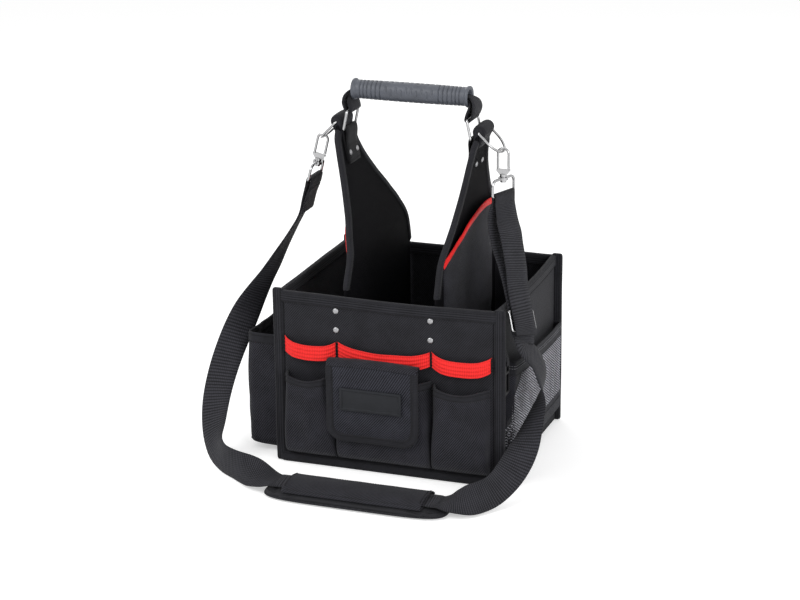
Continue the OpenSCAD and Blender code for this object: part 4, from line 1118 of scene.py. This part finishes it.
makeFlap(flapSetup)
print("flap ready")


def makeLoops():
    lo, hi = boxOf("tape_loop")
    middle = (lo.x + hi.x) / 2
    route = [(131.8, 223), (132.4, 214), (137, 211.5), (146, 208), (153, 201), (154.3, 190), (151, 181), (143, 175.5),
             (134.5, 174), (132.2, 172), (131.8, 164)]
    route = [(onSide("back", -middle, z, y - 131), (1, 0, 0)) for y, z in route]
    loop = ribbon("tape_loop_webbing", route, 25, 1.7, 5)[0]
    finishPiece(loop, "narrow", "tape_loop")
    rows = [[(onSide("back", -x, z, 2.2), Vector((0, 1, 0))) for x in range(96, 118, 2)] for z in (167, 217, 220)]
    stitches("tape_loop_stitches", rows, every=2.8)
    lo, hi = boxOf("clip_tab")
    middle = (lo.y + hi.y) / 2
    route = [(151.0, 189), (152.0, 180), (153.8, 172), (154.6, 167), (154.9, 163.6), (156.6, 162.3), (158.3, 163.6),
             (158.4, 168), (157.0, 174), (154.8, 181), (153.2, 187)]
    tab = ribbon("clip_tab_webbing", [((x, middle, z), (0, 1, 0)) for x, z in route], 8.6, 0.9, 4)[0]
    finishPiece(tab, "narrow", "clip_tab")


makeLoops()

gripSetup = {"grooves": [12, 17, 22, 28, 34, 40], "deep": 1.5, "dashFrom": 45, "barrel": 0.9}


def makeGrip(setup):
    low, high = boxOf("grip")
    half = (high.x - low.x) / 2
    middle = Vector((0, (low.y + high.y) / 2, (low.z + high.z) / 2))
    xs = [k * 0.5 for k in range(int(half / 0.5) + 1)]
    xs = sorted(set([-x for x in xs] + xs + [half, -half]))

    def radius(x, turn):
        fromEnd = half - abs(x)
        r = 12.1 + setup["barrel"] * (1 - (x / half) ** 2)
        r += (14.0 - 12.1) * smoothStep(6.5, 2.5, fromEnd)
        r -= 0.5 * smoothStep(0.9, 0, fromEnd)
        for g in setup["grooves"]:
            r -= setup["deep"] * math.exp(-((fromEnd - g) / 0.65) ** 2)
        if fromEnd > setup["dashFrom"]:
            along = (fromEnd - setup["dashFrom"]) % 7.0 - 3.5
            wave = math.cos(turn * 4 + (0 if int((fromEnd - setup["dashFrom"]) / 7.0) % 2 else math.pi / 2))
            r -= 1.1 * math.exp(-(along / 0.9) ** 2) * smoothStep(-0.15, 0.25, wave)
        return r

    # out over the skin and back down the bore
    rings = [(x, 0) for x in xs] + [(half - 1.2, 9.2), (half - 6, 8.6), (-half + 6, 8.6), (-half + 1.2, 9.2)]
    last = len(rings)

    def place(u, v):
        x, bore = rings[round(v * last) % last]
        turn = 2 * math.pi * u
        r = bore or radius(x, turn)
        return middle + Vector((x, r * math.cos(turn), r * math.sin(turn)))

    grip = shapedGrid("grip_sleeve", 72, last, place, (0.08, 0.32), level=0, closed=True, body="grip")
    finishPiece(grip, "grip", "grip")


makeGrip(gripSetup)


# Webbing of the handle: round both rings' top bars and gathered through the grip.
def makeHandle():
    gripZ = 489.8
    rows = [(60, gripZ + 1.2, 0.36), (76, gripZ + 1.3, 0.36), (83.5, gripZ - 0.5, 0.5), (88.3, gripZ - 6, 0.8),
            (89.2, gripZ - 14, 1.0), (87.4, gripZ - 21, 1.0), (85.3, 464.8, 1.0), (84.3, 462.4, 1.0), (81.89, 461.4, 1.0),
            (79.5, 462.4, 1.0), (78.5, 464.8, 1.0), (80.2, gripZ - 18, 1.0), (82.2, gripZ - 12, 0.9),
            (82.0, gripZ - 7, 0.6), (78.5, gripZ - 2.8, 0.38), (60, gripZ - 2.0, 0.36)]
    for side, name in ((-1, "left"), (1, "right")):
        route = [((side * x, handleY, z), (0, 1, 0)) for x, z, w in rows]
        widths = [(w,) for x, z, w in rows]
        web = ribbon("handle_webbing_" + name, route, 38, 2.1, 5, body="handle",
                     widthAt=lambda t: throughPoints(widths, t)[0])[0]
        finishPiece(web, "narrow", *(["handle_webbing"] if side < 0 else []))
    core = [((x, handleY, gripZ + 0.1), (0, 1, 0)) for x in range(-60, 61, 20)]
    inner = ribbon("handle_core", core, 14, 4.0, 3, body="handle")[0]
    finishPiece(inner, "narrow")


makeHandle()
print("handle ready")

padSetup = {"pressure": 4.0, "cap": 2.2, "frames": 20, "voxel": 4.0}


def makePad(setup):
    low, high = boxOf("shoulder_pad")
    centre = (low + high) / 2
    long, wide, tall = (high - low) / 2
    ring = 64

    def outline(k):
        a = 2 * math.pi * k / ring
        c, s = math.cos(a), math.sin(a)
        e = 0.42
        return (long - 0.6) * math.copysign(abs(c) ** e, c), (wide - 0.6) * math.copysign(abs(s) ** (e * 1.25), s)

    levels = [(0.0, 0.5), (0.5, 0.5), (0.94, 0.7), (0.995, 2.2), (1.0, 4.6), (0.985, 6.8), (0.93, 8.6), (0.8, 9.6),
              (0.5, 10.1), (0.0, 10.2)]

    def place(u, v):
        k = round(u * ring) % ring
        grow, z = levels[round(v * (len(levels) - 1))]
        x, y = outline(k)
        return Vector((centre.x + x * grow, centre.y + y * grow, z))

    pad = shapedGrid("shoulder_pad_cushion", ring, len(levels) - 1, place, (0.6, 0.14), level=1, closed=True, body="pad")
    makeActive(pad)
    remesh = pad.modifiers.new("even", "REMESH")
    remesh.mode = "VOXEL"
    remesh.voxel_size = setup["voxel"] * mm
    bpy.ops.object.modifier_apply(modifier="even")
    before = [v.co.copy() for v in pad.data.vertices]
    cloth = pad.modifiers.new("cover", "CLOTH")
    cloth.settings.use_pressure = True
    cloth.settings.uniform_pressure_force = setup["pressure"]
    cloth.settings.effector_weights.gravity = 0
    for step in range(1, setup["frames"] + 1):
        bpy.context.scene.frame_set(step)
    shape = pad.evaluated_get(bpy.context.evaluated_depsgraph_get()).data
    swollen = [v.co.copy() for v in shape.vertices]
    pad.modifiers.remove(cloth)
    bpy.context.scene.frame_set(1)
    for vert, was, now in zip(pad.data.vertices, before, swollen):
        move = now - was
        if move.length > setup["cap"] * mm:
            move *= setup["cap"] * mm / move.length
        vert.co = was + move
    smooth = pad.modifiers.new("finer", "SUBSURF")
    smooth.levels = smooth.render_levels = 1
    bpy.ops.object.modifier_apply(modifier="finer")
    bpy.ops.object.shade_smooth()
    # drawn out again to its seam, flat where it lies, and clear of the strap above
    for axis, reach in ((0, long - 0.8), (1, wide - 0.8)):
        spread = max(abs(vert.co[axis] / mm - centre[axis]) for vert in pad.data.vertices)
        for vert in pad.data.vertices:
            vert.co[axis] = (centre[axis] + (vert.co[axis] / mm - centre[axis]) * reach / spread) * mm
    for vert in pad.data.vertices:
        x, y = vert.co.x / mm - centre.x, vert.co.y / mm - centre.y
        vert.co.z = max(0.0003, min(vert.co.z, 0.0112 if abs(y) < 27 and abs(x) < 100 else 0.0117))
        rim = smoothStep(0.75, 0.86, max(abs(x) / long, abs(y) / wide))
        if vert.co.z > 0.005:
            vert.co.z -= 0.0012 * math.exp(-((max(abs(x) / long, abs(y) / wide) - 0.84) / 0.03) ** 2)
        vert.co.z += 0.0003 * ripple(x, y, 3, 16, 4) * (1 - rim) * (vert.co.z > 0.004)
    finishPiece(pad, "pad", "shoulder_pad")
    # piping along the seam round its edge
    rim = []
    for k in range(ring + 1):
        x, y = outline(k)
        point = Vector((centre.x + x, centre.y + y, 3.0))
        ahead, behind = (Vector(outline(j)) for j in (k + 1, k - 1))
        along = Vector((ahead.x - behind.x, ahead.y - behind.y, 0)).normalized()
        rim.append((point, Vector((0, 0, 1)).cross(along), Vector((0, 0, 1))))
    edgeTape("pad_piping", rim, 3.0, 2.6, "binding", body="pad", proud=1.1)
    row = [(p + inward * 4.2 + normal * 5.2, (normal - 0.5 * inward).normalized()) for p, inward, normal in rim]
    stitches("pad_stitches", [row], body="pad")


makePad(padSetup)


def makeSleeve():
    low, high = boxOf("pad_sleeve")
    middle = (low.y + high.y) / 2
    half = (high.y - low.y) / 2
    crown = [(k * 3.1, 10.6 + 10.5 * (1 - (k / 10) ** 2) ** 0.6) for k in range(-9, 10)]
    section = [(-half + 5, 11.3), (-half, 10.4)] + crown + [(half, 10.4), (half - 5, 11.3), (12, 11.8), (-12, 11.8)]
    ring = len(section)

    def place(u, v):
        a, b = section[round(u * ring) % ring]
        x = mix(low.x, high.x, v)
        b += (0.5 * ripple(x, a, 2, 26, 3) + 0.5 * math.exp(-((min(v, 1 - v) - 0.02) / 0.012) ** 2)) * (b > 13)
        return Vector((x, middle + a * (1 + 0.015 * ripple(x, 1, 1, 40)), b))

    sleeve = shapedGrid("pad_sleeve_cover", ring, 50, place, (0.13, 0.19), 1.1, closed=True, body="pad")
    finishPiece(sleeve, "sleeve", "pad_sleeve")
    rows = []
    for y in (-half + 4.5, half - 4.5):
        rows.append([(Vector((x, middle + y, 15.0)), Vector((0, 0.55 if y > 0 else -0.55, 0.8))) for x in range(-98, 88, 4)])
    for x in (low.x + 3, high.x - 3):
        rows.append([(Vector((x, middle + y, 11.2 + 10.5 * (1 - (y / 31) ** 2) ** 0.6)), Vector((0, y / 60, 1)).normalized())
                     for y in range(-22, 23, 2)])
    stitches("sleeve_stitches", rows, body="pad")


makeSleeve()
print("pad ready")

metals = {
    "nickel": ["ring_left", "ring_right", "d_ring_left", "d_ring_right", "hook_body_left", "hook_body_right",
               "hook_gate_left", "hook_gate_right", "hook_eye_left", "hook_eye_right", "strap_slider"],
    "clip": ["side_clip"],
}
for name, parts in metals.items():
    for part in parts:
        for slot in nodes[part].material_slots:
            slot.material = finish[name]

studio = {"lamp": 34, "fill": 7, "world": 0.6, "floor": 0.8, "glow": 0.45}


# 1 where one of these kinds of ray looks, else 0.
def anyRay(add, *kinds):
    seen = add("ShaderNodeLightPath", None).outputs
    found = seen[kinds[0]]
    for kind in kinds[1:]:
        found = add("ShaderNodeMath", "Value", found, seen[kind], operation="MAXIMUM")
    return found


def clearedNodes(owner):
    owner.use_nodes = True
    owner.node_tree.nodes.clear()
    return functools.partial(addNode, owner.node_tree)


def addStudio(setup):
    scene = bpy.context.scene
    scene.view_settings.view_transform = "Standard"
    scene.world = bpy.data.worlds.new("studio")
    add = clearedNodes(scene.world)
    white, grey = (add("ShaderNodeBackground", "Background", Color=(1, 1, 1, 1), Strength=strength)
                   for strength in (1.0, setup["world"]))
    seen = anyRay(add, "Is Camera Ray", "Is Transmission Ray", "Is Glossy Ray")
    add("ShaderNodeOutputWorld", None, add("ShaderNodeMixShader", "Shader", seen, grey, white))
    for name, place, size, power in (("key", (-1.3, -1.6, 1.9), 1.4, setup["lamp"]),
                                     ("side", (1.9, -1.3, 1.0), 1.2, setup["lamp"] * 0.7),
                                     ("top", (0.1, 0.6, 2.2), 1.6, setup["fill"]),
                                     ("rim", (-1.2, 1.7, 1.2), 1.0, setup["fill"])):
        lamp = bpy.data.lights.new(name, "AREA")
        lamp.size, lamp.energy = size, power
        holder = bpy.data.objects.new(name, lamp)
        scene.collection.objects.link(holder)
        holder.location = place
        holder.rotation_euler = (Vector((0, 0, 0.2)) - Vector(place)).to_track_quat("-Z", "Y").to_euler()


# The floor keeps the shadows and is lit up to white where the camera sees it.
def addFloor(setup):
    deselectAll()
    bpy.ops.mesh.primitive_plane_add(size=30, location=(0, 0, -0.0004))
    floor = bpy.context.active_object
    floor.name = "floor"
    material = bpy.data.materials.new("floor_white")
    add = clearedNodes(material)
    matte = add("ShaderNodeBsdfDiffuse", "BSDF", Color=(*[setup["floor"]] * 3, 1))
    dark = add("ShaderNodeEmission", "Emission", Color=(0, 0, 0, 1), Strength=0.0)
    glow = add("ShaderNodeEmission", "Emission", Color=(1, 1, 1, 1), Strength=setup["glow"])
    lit = add("ShaderNodeMixShader", "Shader", anyRay(add, "Is Camera Ray", "Is Glossy Ray"), dark, glow)
    add("ShaderNodeOutputMaterial", None, add("ShaderNodeAddShader", "Shader", matte, lit))
    floor.data.materials.append(material)


addStudio(studio)
addFloor(studio)
print("studio ready")
